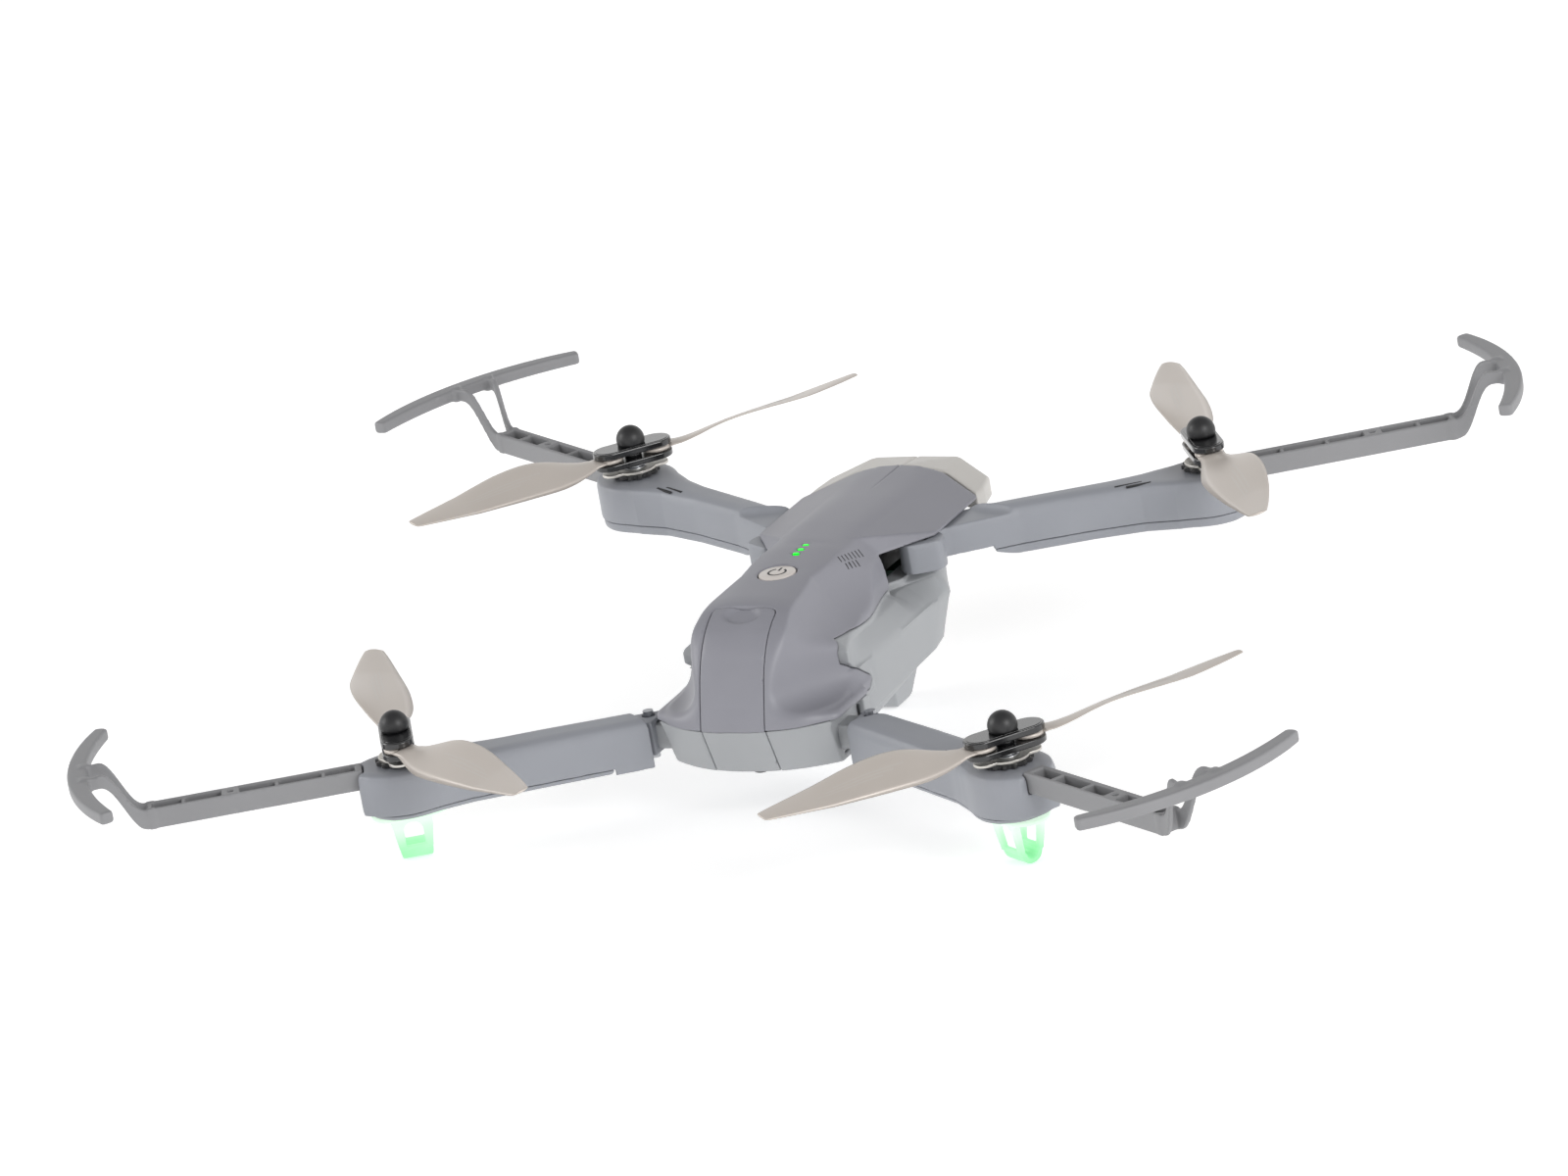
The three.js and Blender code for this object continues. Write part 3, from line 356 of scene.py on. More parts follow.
def mapped(nodes, links, value, low, high, start=0.0, end=1.0):
    """A value's run from start to end, taken to the run from low to high."""
    node = nodes.new("ShaderNodeMapRange")
    node.inputs["From Min"].default_value = start
    node.inputs["From Max"].default_value = end
    node.inputs["To Min"].default_value = low
    node.inputs["To Max"].default_value = high
    links.new(value, node.inputs["Value"])
    return node.outputs["Result"]


def rough_bump(nodes, links, shader, height, strength):
    bump = nodes.new("ShaderNodeBump")
    bump.inputs["Strength"].default_value = strength
    bump.inputs["Distance"].default_value = 0.0002
    links.new(height, bump.inputs["Height"])
    links.new(bump.outputs["Normal"], shader.inputs["Normal"])


def plastic(name, colour, rough=0.45, grain=0.05, mottle=0.03, sharp_edge_paling=0.12, coat=0.0, shine=0.0):
    """Moulded plastic: fine grain, uneven sheen, slight mottling and paler sharp edges."""
    material, nodes, links, shader = new_material(name)
    noise = texture(nodes, links, 55.0, 5.0)
    speck = texture(nodes, links, 2600.0)
    tint = nodes.new("ShaderNodeVectorMath")
    tint.operation = "SCALE"
    tint.inputs[0].default_value = colour
    links.new(mapped(nodes, links, noise, 1 - mottle, 1 + mottle, 0.3, 0.7), tint.inputs["Scale"])
    # the colour turns paler where the surface is sharply convex
    shape = nodes.new("ShaderNodeNewGeometry")
    sharp_edge_tint = nodes.new("ShaderNodeMixRGB")
    sharp_edge_tint.inputs["Color2"].default_value = tuple(min(1.0, c * 1.5 + 0.06) for c in colour) + (1,)
    links.new(mapped(nodes, links, shape.outputs["Pointiness"], 0, sharp_edge_paling, 0.53, 0.62), sharp_edge_tint.inputs["Fac"])
    links.new(tint.outputs["Vector"], sharp_edge_tint.inputs["Color1"])
    links.new(sharp_edge_tint.outputs["Color"], shader.inputs["Base Color"])
    links.new(mapped(nodes, links, noise, rough - 0.08, rough + 0.08), shader.inputs["Roughness"])
    rough_bump(nodes, links, shader, speck, grain)
    shader.inputs["Metallic"].default_value = shine
    shader.inputs["Coat Weight"].default_value = coat
    shader.inputs["Coat Roughness"].default_value = 0.2
    return material


def metal(name, colour, rough=0.3):
    """Bare metal with a fine uneven polish."""
    material, nodes, links, shader = new_material(name)
    noise = texture(nodes, links, 900.0, 4.0)
    links.new(mapped(nodes, links, noise, rough - 0.1, rough + 0.15), shader.inputs["Roughness"])
    rough_bump(nodes, links, shader, noise, 0.08)
    shader.inputs["Base Color"].default_value = (*colour, 1)
    shader.inputs["Metallic"].default_value = 1.0
    return material


def green_lamp():
    """Plastic lit from inside."""
    material, nodes, links, shader = new_material("green_lamp")
    noise = texture(nodes, links, 300.0)
    links.new(mapped(nodes, links, noise, 0.85, 1.15), shader.inputs["Emission Strength"])
    shader.inputs["Base Color"].default_value = (0.0, 0.35, 0.02, 1)
    shader.inputs["Emission Color"].default_value = (0.0, 1.0, 0.01, 1)
    shader.inputs["Roughness"].default_value = 0.3
    return material


def leg_glow():
    """Milky plastic: white near the lamp at the top, green towards the foot."""
    material, nodes, links, shader = new_material("leg_milky")
    place = nodes.new("ShaderNodeTexCoord")
    split = nodes.new("ShaderNodeSeparateXYZ")
    links.new(place.outputs["Object"], split.inputs["Vector"])
    wobble = nodes.new("ShaderNodeMath")
    wobble.operation = "MULTIPLY_ADD"
    wobble.inputs[1].default_value = 0.006
    links.new(texture(nodes, links, 120.0), wobble.inputs[0])
    links.new(split.outputs["Z"], wobble.inputs[2])
    colours = nodes.new("ShaderNodeValToRGB")
    stops = colours.color_ramp.elements
    stops[0].position, stops[0].color = 0.0, (0.05, 0.36, 0.11, 1)
    stops[1].position, stops[1].color = 0.8, (0.62, 0.72, 0.63, 1)
    middle = stops.new(0.35)
    middle.color = (0.22, 0.56, 0.28, 1)
    links.new(mapped(nodes, links, wobble.outputs["Value"], 0, 1, 0.001, 0.017), colours.inputs["Fac"])
    links.new(colours.outputs["Color"], shader.inputs["Emission Color"])
    shader.inputs["Emission Strength"].default_value = 1.0
    shader.inputs["Base Color"].default_value = (0.2, 0.42, 0.24, 1)
    shader.inputs["Roughness"].default_value = 0.3
    return material


COVER = plastic("cover_plastic", (0.238, 0.238, 0.268), 0.42)
# the shell plastic is paler than the cover partly as painted light from the bright floor below, which its
# faces turn to; its greener grey is its own
SHELL = plastic("shell_plastic_and_floor_light", (0.335, 0.345, 0.358), 0.45)
HOOD = plastic("hood_plastic", (0.56, 0.54, 0.51), 0.4)
ARM = plastic("arm_plastic", (0.270, 0.280, 0.308), 0.42)
GUARD = plastic("guard_plastic", (0.235, 0.235, 0.243), 0.5)
BLADE = plastic("blade_plastic", (0.56, 0.51, 0.465), 0.36, 0.03, 0.02, 0.05, shine=0.2)
PRINT = plastic("blade_rib_plastic", (0.56, 0.52, 0.48), 0.4, 0.02, 0.01, 0.0)
HUB = plastic("hub_plastic", (0.008, 0.008, 0.009), 0.12, 0.02, 0.05, 0.1, 0.8)
CAP = plastic("cap_rubber", (0.016, 0.016, 0.017), 0.42, 0.08, 0.05, 0.05)
BLACK = plastic("black_plastic_parts", (0.02, 0.02, 0.021), 0.4)
# black for the power symbol and the light pipe; also used as painted shade for the slot sheets, the vent
# strips and the arm's sunk marks
BLACK_AND_PAINTED_SHADE = plastic("black_and_painted_shade", (0.012, 0.012, 0.014), 0.6)
BUTTON = plastic("button_paint", (0.60, 0.555, 0.52), 0.35)
BOARD = plastic("board_lacquer", (0.02, 0.12, 0.05), 0.3)
PLATE = metal("rotor_metal_plate", (0.62, 0.60, 0.56), 0.35)
STEEL = metal("steel_parts", (0.45, 0.46, 0.48), 0.3)
GOLD = metal("contact_gold", (0.83, 0.62, 0.28), 0.3)
GREEN = green_lamp()
LEG = leg_glow()
GLASS = plastic("lens_coating", (0.01, 0.012, 0.03), 0.06, 0.0, 0.05, 0.0, 1.0)


# ---------- the body ----------
def tail_lean(y, z):
    """y with the tail's forward lean taken out."""
    lean = np.where(z > BAND_Z, 0.33 * (z - BAND_Z), -0.376 * (z - BAND_Z))
    return y - lean * np.clip((78 - y) / 40, 0, 1)


def body_form(g):
    """The body's main swell: a fat tail cap running into a rounded crown and a flat belly."""
    y = tail_lean(g.y, g.z)
    waist, cap_end, depth, power = -3.0, 40.5, 20.0, 2.8
    crown = ramp([(36, 19.6), (62, 20.5), (80, 21.3), (100, 21.5), (120, 21.2), (160, 19.6)], y) - waist
    belly = waist - ramp([(30, -24.6), (60, -25.2), (100, -22), (122, -19), (150, -12)], y)
    half_up = keyed([(40, 26), (55, 23.4), (66, 22.8), (92, 18.6)], y)
    half_down = keyed([(40, 26.5), (60, 25.6), (106, 24.6), (122, 18), (150, 15)], y)
    corner = keyed([(40, 2.6), (60, 3.2), (92, 3.6)], y)
    tail = np.clip((cap_end - y) / depth, 0, 3)
    rise = (g.z - waist).astype(np.float32)
    x = np.abs(g.x)
    up = ((x / half_up) ** corner + (np.maximum(rise, 0) / crown) ** corner) ** (1 / corner)
    down = ((x / half_down) ** 5 + (np.maximum(-rise, 0) / belly) ** 5) ** 0.2
    rho = np.where(rise > 0, up, down).astype(np.float32)
    form = (rho ** power + tail.astype(np.float32) ** power) ** (1 / power) - 1
    gx, gy, gz = np.gradient(form, g.step)
    return (form / np.maximum(np.sqrt(gx * gx + gy * gy + gz * gz), 0.008)).astype(np.float32)


def band_form(g):
    """The bowed tail wall below the scoops."""
    bow = 20.5 + 9.4 * (np.abs(g.x) / 26.9) ** 2.2
    slope = 9.4 * 2.2 / 26.9 * (np.abs(g.x) / 26.9) ** 1.2
    tail = (bow - tail_lean(g.y, g.z)) / np.sqrt(1 + slope * slope)
    walls = both(tail, np.maximum(g.x - 28.1, g.y - 50), 1.6)
    lid = g.z + 7.9 - 0.12 * (28 - g.x)
    return both(both(walls, -24.2 - g.z, 1.0), lid, 1.2)


def flank_form(g):
    """Side walls of the lower shell, flat and sculpted, with a bevel along the top and the bottom."""
    y, z = g.y, g.z
    top = ramp([
        (46, 22.3), (54, 22.8), (78, 20.8), (88, 19.6), (94, 14.5), (100, 15), (104, 18), (109, 23),
        (123, 22),
    ], y)
    middle = ramp([(46, 24), (60, 26.3), (96, 26.2), (104, 27), (112, 26.8), (123, 21)], y)
    bottom = ramp([(46, 26.8), (55, 27), (100, 25.4), (110, 23.4), (123, 17)], y)
    upper = np.clip((z + 4) / (LEDGE_Z + 4), 0, 1)
    lower = np.clip((-4 - z) / 13, 0, 1)
    half = middle + (top - middle) * upper ** 1.4 + (bottom - middle) * lower
    half = half - 0.9 * np.maximum(z - 2.4, 0) - 1.5 * np.maximum(-16.6 - z, 0)
    side = (g.x - half) * 0.93
    floor = ramp([(46, -20.5), (100, -21.5), (122, -19)], y) - z
    return both(both(side, floor, 0.5), np.maximum(46 - y, y - 122.5), 0.5)


def keel_form(g):
    widths = ramp([(-38.7, 4.5), (-37.5, 5.3), (-27, 9), (-19, 12)], g.z)
    back = ramp([(-38.7, 112), (-37.5, 110.6), (-27, 103), (-19, 96)], g.z)
    front = ramp([(-38.7, 120), (-37.5, 121), (-19, 122.5)], g.z)
    sides = both((g.x - widths) * 0.93, np.maximum((back - g.y) * 0.76, g.y - front), 0.5)
    return both(sides, np.maximum(GROUND - g.z, g.z + 18), 0.3)


def seam_form(g):
    """Below zero in the lower shell's share of the side view."""
    outline = [
        (0, BAND_Z), (53.5, BAND_Z), (56.2, -8.6), (56.4, -7.2), (47.6, -0.6), (47.4, 2.6), (49.5, 5.6),
        (58, 5.2), (66, LEDGE_Z), (170, LEDGE_Z), (170, -60), (0, -60),
    ]
    return polygon(outline, g.y, g.z)


def hood_seam(g):
    """Below zero behind the seam between the top cover and the hood."""
    x = np.abs(g.x)
    line = np.interp(x, [0, 5, 14.1, 26, 60], [147.5, 147.3, 145.6, 138.2, 138.2]).astype(np.float32)
    return (g.y - line) * 0.93


body = Grid((0, 15, -40), (29.4, 150, 23))
outer = body_form(body)
under_tail = block(body, -9, 60, -9, 45, -80, BAND_Z, 0.4)
outer = less(outer, under_tail, 0.4)

# above the scoops and flanks the body narrows to a tower, which stands on a soft ledge; the rim is
# the tower's upper edge and the crease is where its wall meets the ledge
rim_x = ramp([
    (20, 10.6), (26, 12.3), (32, 13.2), (45, 12.8), (62, 12.3), (76, 14.4), (87.5, 17.6), (92, 17.4),
    (94, 30),
], body.y)
rim_z = ramp([(20, 16), (30, 18.3), (45, 18.6), (62, 17.4), (76, 16.6), (87.5, 15.2), (92, 14.6)], body.y)
crease_x = ramp([(20, 12.6), (30, 16), (45, 17.6), (84, 19.6), (92, 19.4), (94, 30)], body.y)
crease_z = ramp([(20, 5.4), (45, 6.4), (84, 8.2), (92, 8.0)], body.y)
tower = (body.x - rim_x - (rim_z - body.z) * (crease_x - rim_x) / (rim_z - crease_z)) * 0.93
ledge = (body.z - crease_z + (body.x - crease_x) * 0.42) * 0.92
outer = both(outer, either(tower, ledge, 6.0), 0.7)
# a flat bevel along the crown's edge
crown_bevel = 0.7357 * body.x + 0.0027 * body.y + 0.6772 * body.z - 22.44
outer = both(outer, np.where(body.y > 52, crown_bevel, -9), 0.5)
outer = either(outer, band_form(body), 0.8)
skirt_half = ramp([(-12, 27.2), (-8, 27), (-3, 24.3), (4, 22.6)], body.z)
skirt = both((body.x - skirt_half) * 0.85, np.maximum(44 - body.y, body.y - 57.2), 0.8)
skirt = both(skirt, np.maximum(-12 - body.z, body.z - 4), 1.5)
outer = either(outer, skirt, 1.0)

# each rear propeller turns in a scoop with a filleted floor
scoop_wall = tube(body.x, body.y, MOTOR_X, 0, SCOOP_R)
scoop_floor = -7.9 + 0.12 * (28 - body.x) - body.z
scoop = both(scoop_wall, scoop_floor, 7.0)

# the crown widens into shoulders over the front arms' roots
flare = polygon([
    (SHOULDER_HALF, 107.5), (SHOULDER_HALF, 136.5), (26, 138.5), (14.1, 146), (0, 148), (0, 85), (11.9, 85),
    (16.7, SLOT_Y),
], body.x, body.y)
shoulder_top = ramp([(0, 21.25), (6, 21.0), (11, 20.2), (14.4, 19.25), (SHOULDER_HALF, 15.2)], body.x)
# distance behind the shoulder's slanted rear edge, which runs out from the slot's corner
from_slot = -0.823 * (body.x - 16.7) + 0.569 * (body.y - SLOT_Y)
shoulder = both(flare, (body.z - shoulder_top) * 0.95, 0.35)
shoulder = both(shoulder, (body.z - 14.5 - 1.7 * from_slot) * 0.507, 0.35)
shoulder = both(shoulder, SLOT_TOP - 5 - body.z, 0.5)
crown = either(less(outer, scoop, 2.0), shoulder, 0.5)

lower_share = seam_form(body)
upper_share = both(-lower_share + SEAM, hood_seam(body) + GAP, 0.2)
slot = block(body, 11, 60, SLOT_Y, 150, -60, SLOT_TOP, 0.4)
strip_share = both(body.x - BATTERY_HALF, body.y - STRIP_TOP_Y, 2.0)
under_nose = np.maximum(118 - body.y, body.z - SLOT_TOP + 1)
button_hole = np.maximum(tube(body.x, body.y, 0, BUTTON_Y, 5.6), 10 - body.z)
cover = both(crown, upper_share, 0.5)
cover = less(cover, crown + WALL, 0.3)
for hole in (slot, strip_share, under_nose, button_hole):
    cover = less(cover, hole, 0.25)
for y in LIGHT_YS:
    cover = less(cover, block(body, -1.1, 1.1, y - 0.75, y + 0.75, 10, 30, 0.2), 0.2)
put("top_cover_looks", surface(cover, body, True), "body", COVER, "top_cover")

# battery case: the tail strip and the sleeve that reaches into the body
top_end = both(body.x - BATTERY_HALF + SEAM, body.y - STRIP_TOP_Y + SEAM, 2.0)
below = np.maximum(body.x - BATTERY_HALF + SEAM, body.y - 28.2)
face = both(outer, np.where(body.z > BAND_Z, top_end, below), 0.25)
sleeve = both(block(body, -9, 9, 28.4, 84, -21, 14.5, 0.6), outer + 0.1, 0.4)
room = block(body, -9, 7.8, 34, 90, -19.8, 13.3, 0.3)
shell_room = both(outer + 2.6, body.y - 33, 0.3)
case = less(either(less(face, shell_room, 0.3), sleeve, 0.3), room, 0.3)

# a shallow finger scoop at the strip's top end
reach = np.sqrt((body.x / 6.4) ** 2 + ((body.y - 38.2) / 3.4) ** 2)
scoop_depth = 1.1 * (1 - smooth((reach - 0.55) / 0.45))
case = both(case, outer + scoop_depth, 0.3)
case = less(either(case, sleeve, 0.3), room, 0.3)
# the tail below the strip takes the paler shell plastic like the band beside it: painted floor light, since
# the whole case is one plastic and this face turns down to the bright floor
strip = both(case, BAND_Z - body.z, 0.05)
put("battery_case_looks", surface(strip, body, True), "battery", COVER, "battery_case")
tail = both(case, body.z - BAND_Z, 0.05)
put("battery_case_tail_floor_lit", surface(tail, body, True), "battery", SHELL)

# lower shell: tub, flanks with a sill under the front arms' slots, bulkhead and keel
flank_end = both(scoop_wall - 0.4, -8 - body.z, 1.0)
flank = less(flank_form(body), flank_end, 1.0)
sill = np.maximum(np.maximum(2.0 - body.z, from_slot - 3.4), SLOT_Y - 0.4 - body.y)
tub = less(both(either(outer, flank, 0.8), lower_share, 0.25), sill, 0.3)
tub = less(either(tub, keel_form(body), 0.4), tub + WALL, 0.3)
tub = both(tub, body.y - 123.4, 0.5)
tub = less(tub, block(body, 25.4, 60, 29.9, 46.6, -60, BAND_Z + 0.2, 0.5), 0.5)
closing = both(block(body, 23.6, 25.4, 29, 47.6, -22, BAND_Z, 0.3), outer, 0.3)
doors = block(body, -9, BATTERY_HALF, 0, 28.5, -60, 60, 0.2)
bay = block(body, -9, 9.3, 20, 90, -21.3, 60, 0.2)
middle = block(body, -9, 12.7, 48, 121, -18, 60, 0.3)
for hole in (doors, bay, middle):
    tub = less(tub, hole, 0.35)
put("lower_shell_looks", surface(either(tub, closing, 0.3), body, True), "body", SHELL, "lower_shell")
# the tongues that carry the rear arms
near_pin = Grid((22, 31, -22), (39, 45, -12), 0.3)
hinge_x, hinge_y = ARMS["rear"]["pivot"]
from_pin = tube(near_pin.x, near_pin.y, hinge_x, hinge_y, 0) + 0 * near_pin.z
tongue = either(from_pin - 4, block(near_pin, 23.5, hinge_x, hinge_y - 4, hinge_y + 4, -60, 60, 0.2), 0.2)
tongue = both(tongue, np.maximum(-20.5 - near_pin.z, near_pin.z + 13.5), 0.4)
tongue = less(tongue, from_pin - HINGE_R, 0.2)
for side, word in ((1, "right"), (-1, "left")):
    put(f"hinge_tongue_{word}", surface(tongue, near_pin), "body", SHELL, side=side)

# hood
nose = Grid((0, 136, 8), (28.5, 161, 23), VOXEL * 0.8)
hood_plan = polygon([
    (26.4, 138.6), (26.4, 144), (24.8, 151.6), (13, 158.4), (0, 159.4), (0, 148.3), (14.3, 146.2),
], nose.x, nose.y)
hood_top = ramp([(0, 20.8), (14, 19.4), (SHOULDER_HALF, 14.9)], nose.x)
lean_top = ramp([(130, 21.2), (148, 20.7), (159.5, 19.4)], nose.y)
lean_front = nose.y - ramp([(9.4, 157.6), (19.4, 159.4)], nose.z)
hood = both(hood_plan, (nose.z - np.minimum(hood_top, lean_top)) * 0.97, 0.9)
hood = both(hood, lean_front, 0.6)
hood_room = both(hood + 1.6, nose.z - 19.2, 0.3)
hood = less(both(hood, 10 - nose.z, 0.4), hood_room, 0.3)
put("front_hood_looks", surface(hood, nose, True), "body", HOOD, "front_hood")


# ---------- arms ----------
def in_arm(arm, x, y):
    """A point of the body in the arm's own frame, which starts at the pin and runs along the arm."""
    t = math.radians(arm["angle"])
    dx, dy = x - arm["pivot"][0], y - arm["pivot"][1]
    return dx * math.cos(t) + dy * math.sin(t), -dx * math.sin(t) + dy * math.cos(t)


def in_body(arm, u, v):
    """The way back from in_arm."""
    t = math.radians(arm["angle"])
    x, y = arm["pivot"]
    return x + u * math.cos(t) - v * math.sin(t), y + u * math.sin(t) + v * math.cos(t)


def arm_plan(arm, g, motor, low=False):
    """Plan of the arm: root, bar and the pod round the motor; the low plan ends in a round bowl."""
    c, h = arm["centre"], arm["half"]
    if arm is ARMS["rear"]:
        inner, outside = [in_arm(arm, 30.0, 29.8)], [in_arm(arm, 30.0, 43.4)]
    else:
        inner, outside = [(-2, 14.5), (-5.4, 3), (0, 2), (7.6, 5.2)], [(23, c + h), (18.5, 19.0), (2, 18.2)]
    tip = [(-11, 8.6), (4, 8.9), (9.0, 7.6), (12.2, 5.6)] if not low else [(-11, 8.6), (4, 8.4)]
    near = [(-28, h), (-18, h + 0.4)] if arm is ARMS["rear"] else [(-54, 2.6), (-34, 3.4), (-20, 5.2)]
    far = [(-28, h), (-18, h + 0.4)] + tip
    near_side = [(motor + u, c - v) for u, v in near + tip]
    far_side = [(motor + u, c + v) for u, v in far[::-1]]
    bar = polygon(inner + near_side + far_side + outside, g.x, g.y)
    pod = both(tube(g.x, g.y, motor, c, arm["pod"] - 0.2), g.x - motor - 11.3, 1.0)
    return either(bar, pod, 4.0)


def arm_pieces(end):
    """The arm's shell and its bottom cover."""
    arm = ARMS[end]
    c, top = arm["centre"], arm["top"]
    motor = in_arm(arm, *arm["motor"])[0]
    rear = end == "rear"
    g = Grid((-8.5, c - 14.5, arm["bottom"] - 1.4), (motor + 16, c + 14.5, top + 1.2))
    plan = arm_plan(arm, g, motor)
    crest = top + ramp([(-9, 0.1), (30, 0.25), (motor - 12, 0), (140, 0)], g.x)
    lid = g.z - crest
    chamfer = ramp([(0, 1.7), (motor - 26, 1.7), (motor - 14, 0.8), (140, 0.7)], g.x)
    block_form = both(plan, lid, 0.4)
    block_form = both(block_form, (plan + lid + chamfer) * 0.7071, 1.6)
    if not rear:
        # a low facet at the root, with a hollow ramp up to the arm's top
        facet = both(((g.x - 28.2) * 11.05 + (g.y - 7) * 11.3) / 15.8, 14 - g.z, 2.6)
        block_form = less(block_form, facet, 0.3)
    roof = 1.3 if rear else 3.3
    inside = np.maximum(plan + 1.3, np.maximum(g.z - top + roof, arm["start"] - g.x))
    shell_form = both(block_form, arm["seam"] - g.z, 0.15)
    if rear:
        root = both(block_form, np.maximum(g.x - 11.7, arm["bottom"] - g.z), 0.3)
        shell_form = either(shell_form, root, 0.1)
        # the shell ends square to the arm; a lower, narrower knuckle goes on to the pin
        x, y = in_body(arm, g.x, g.y)
        inboard = (10.4 * (y - 29.8) - 7.6 * (x - 30)) / math.hypot(10.4, 7.6)
        knuckle = np.maximum(np.maximum(g.z + 11.9, -21.6 - g.z), np.maximum(31.8 - y, 30.2 - x))
        shell_form = both(shell_form, np.minimum(inboard, knuckle), 0.3)
        # room for the body's tongue over the whole swing
        swing = np.degrees(np.arctan2(g.y, g.x)) % 360
        reach = np.sqrt(g.x ** 2 + g.y ** 2)
        wedge = np.where((swing > 82) & (swing < 236), reach - 15, 3)
        slot_room = np.minimum(wedge, reach - 4.4)
        shell_form = less(shell_form, np.maximum(slot_room, np.maximum(-20.8 - g.z, g.z + 13.2)), 0.3)
    else:
        # the root goes into the slot beneath the shoulder, out and folded, and turns on a barrel
        edge_x = SHOULDER_HALF + 0.5
        a, b = in_arm(arm, edge_x, 90), in_arm(arm, edge_x, 150)
        above = SLOT_TOP - GAP - g.z
        under = np.maximum(polygon([a, b, (-40, 60), (-40, -40)], g.x, g.y), above)
        folded = np.maximum(polygon([(4.3, 0), (12.3, -8), (-10, -8), (-10, 0)], g.x, g.y), above)
        below = np.maximum(g.x - 20.4, g.z - ROOT_Z)
        slope = (g.x - a[0]) * (b[1] - a[1]) - (g.y - a[1]) * (b[0] - a[0])
        out = slope / math.hypot(b[1] - a[1], b[0] - a[0])
        climb = (14.2 + np.maximum(out, 0) * 0.42 - g.z) * -0.92
        for cutter in (under, folded, below):
            shell_form = less(shell_form, cutter, 0.4)
        shell_form = both(shell_form, np.where(out < 9, climb, -9), 0.5)
        barrel = both(tube(g.x, g.y, 0, 0, 6.5), np.maximum(ROOT_Z - g.z, g.z - SLOT_TOP + GAP), 0.4)
        shell_form = either(shell_form, barrel, 0.4)
        shell_form = both(shell_form, np.where(out < 0, g.z - SLOT_TOP + GAP, -9), 0.2)
    pin_bore = tube(g.x, g.y, 0, 0, HINGE_R)
    shaft_bore = np.maximum(tube(g.x, g.y, motor, c, 2.4), top - 5 - g.z)
    socket = block(g, motor + 10.6, motor + 20, c - 3.6, c + 3.6, arm["beam"] - BEAM_TALL - GAP, 99, 0.3)
    for cutter in (inside, pin_bore, socket, shaft_bore):
        shell_form = less(shell_form, cutter, 0.35)
    # the bottom cover, with its own rounded lower edge
    bowl = arm_plan(arm, g, motor, True) + 0.1
    plate = both(np.maximum(bowl, plan), np.maximum(arm["start"] - g.x, g.z - arm["seam"] + SEAM), 0.15)
    plate = both(plate, arm["bottom"] - g.z, 2.2)
    if not rear:
        slant = (-3.1 * (g.x - 18.3) - 8.9 * (g.z - arm["seam"])) / math.hypot(3.1, 8.9)
        plate = both(plate, slant, 0.6)
    scooped = np.maximum(bowl + 3, np.maximum(arm["bottom"] + 1.3 - g.z, arm["start"] + 2 - g.x))
    plate = less(plate, scooped, 0.3)
    if not rear:
        stub = np.maximum(arm["bottom"] - 0.98 - g.z, g.z - arm["bottom"] - 0.6)
        plate = either(plate, both(tube(g.x, g.y, motor - 2, c, 2.5), stub, 0.7), 0.3)
    return surface(shell_form, g), surface(plate, g)


def guard_piece(end):
    """An open beam from the pod, which forks and climbs to a bowed bumper."""
    arm = ARMS[end]
    c = arm["centre"]
    motor = in_arm(arm, *arm["motor"])[0]
    z1, low = arm["beam"], arm["cap"] - 0.9
    z0 = z1 - BEAM_TALL
    g = Grid((motor + 10, c - 37.5, z0 - 1), (motor + 92, c + 37.5, low + 4.4))
    u, v = g.x - motor, g.y - c
    wide = np.abs(v)
    # the beam's floor climbs from its own level to the bumper's
    t = np.clip((u - 70) / 16, 0, 1)
    s = np.clip((t - 0.05) / 0.75, 0, 1)
    floor = z0 + (low - z0) * s ** 3 * (s * (6 * s - 15) + 10)
    tall = BEAM_TALL + (BUMPER_TALL - BEAM_TALL) * smooth((t - 0.2) / 0.7)
    band = np.maximum(floor - g.z, g.z - floor - tall) * 0.75
    hollow = np.maximum(np.maximum(12.9 - u, u - 69.4), np.maximum(wide - 2.1, z0 + 1.2 - g.z))
    beam = np.maximum(np.maximum(10.9 - u, u - 70.6), np.maximum(wide - 3.3, band))
    beam = less(beam, hollow, 0.5)
    # ribs across the hollow, and a pad with a screw hole
    for at, half, drop in ((21.6, 0.6, 0.4), (34.6, 0.6, 0.4), (60.6, 0.6, 0.4), (47.5, 2.5, 0)):
        level = np.maximum(z0 + 0.4 - g.z, g.z - z1 + drop)
        rib = np.maximum(np.maximum(np.abs(u - at) - half, wide - 2.9), level)
        if half > 1:
            rib = less(rib, np.maximum(tube(u, v, at, 0, 0.9), z1 - 2.4 - g.z), 0.3)
        beam = np.minimum(beam, rib)
    flare = 2.7 + 2.9 * smooth((t - 0.1) / 0.85)
    fork = both(np.abs(wide - flare) - 0.62 - 0.25 * t, np.maximum(69 - u, u - 86.5), 0.4)
    fork = both(fork, band, 0.5)
    # the bumper is an arc round the motor, thinner towards its ends
    r = np.sqrt(u * u + v * v)
    turn = np.degrees(np.arctan2(v, u))
    a, b = arm["span"]
    part = np.clip((turn - a) / (b - a), 0.03, 0.97)
    half = 2.7 * (0.62 + 0.38 * np.sin(math.pi * part) ** 0.5)
    ends = np.maximum(a - turn, turn - b) * math.pi / 180 * BUMPER_R
    bar = both(np.abs(r - BUMPER_R) - half, ends, 1.2)
    bar = both(bar, np.maximum(low - g.z, g.z - low - BUMPER_TALL), 0.9)
    return surface(either(either(beam, fork, 0.6), bar, 1.6), g)


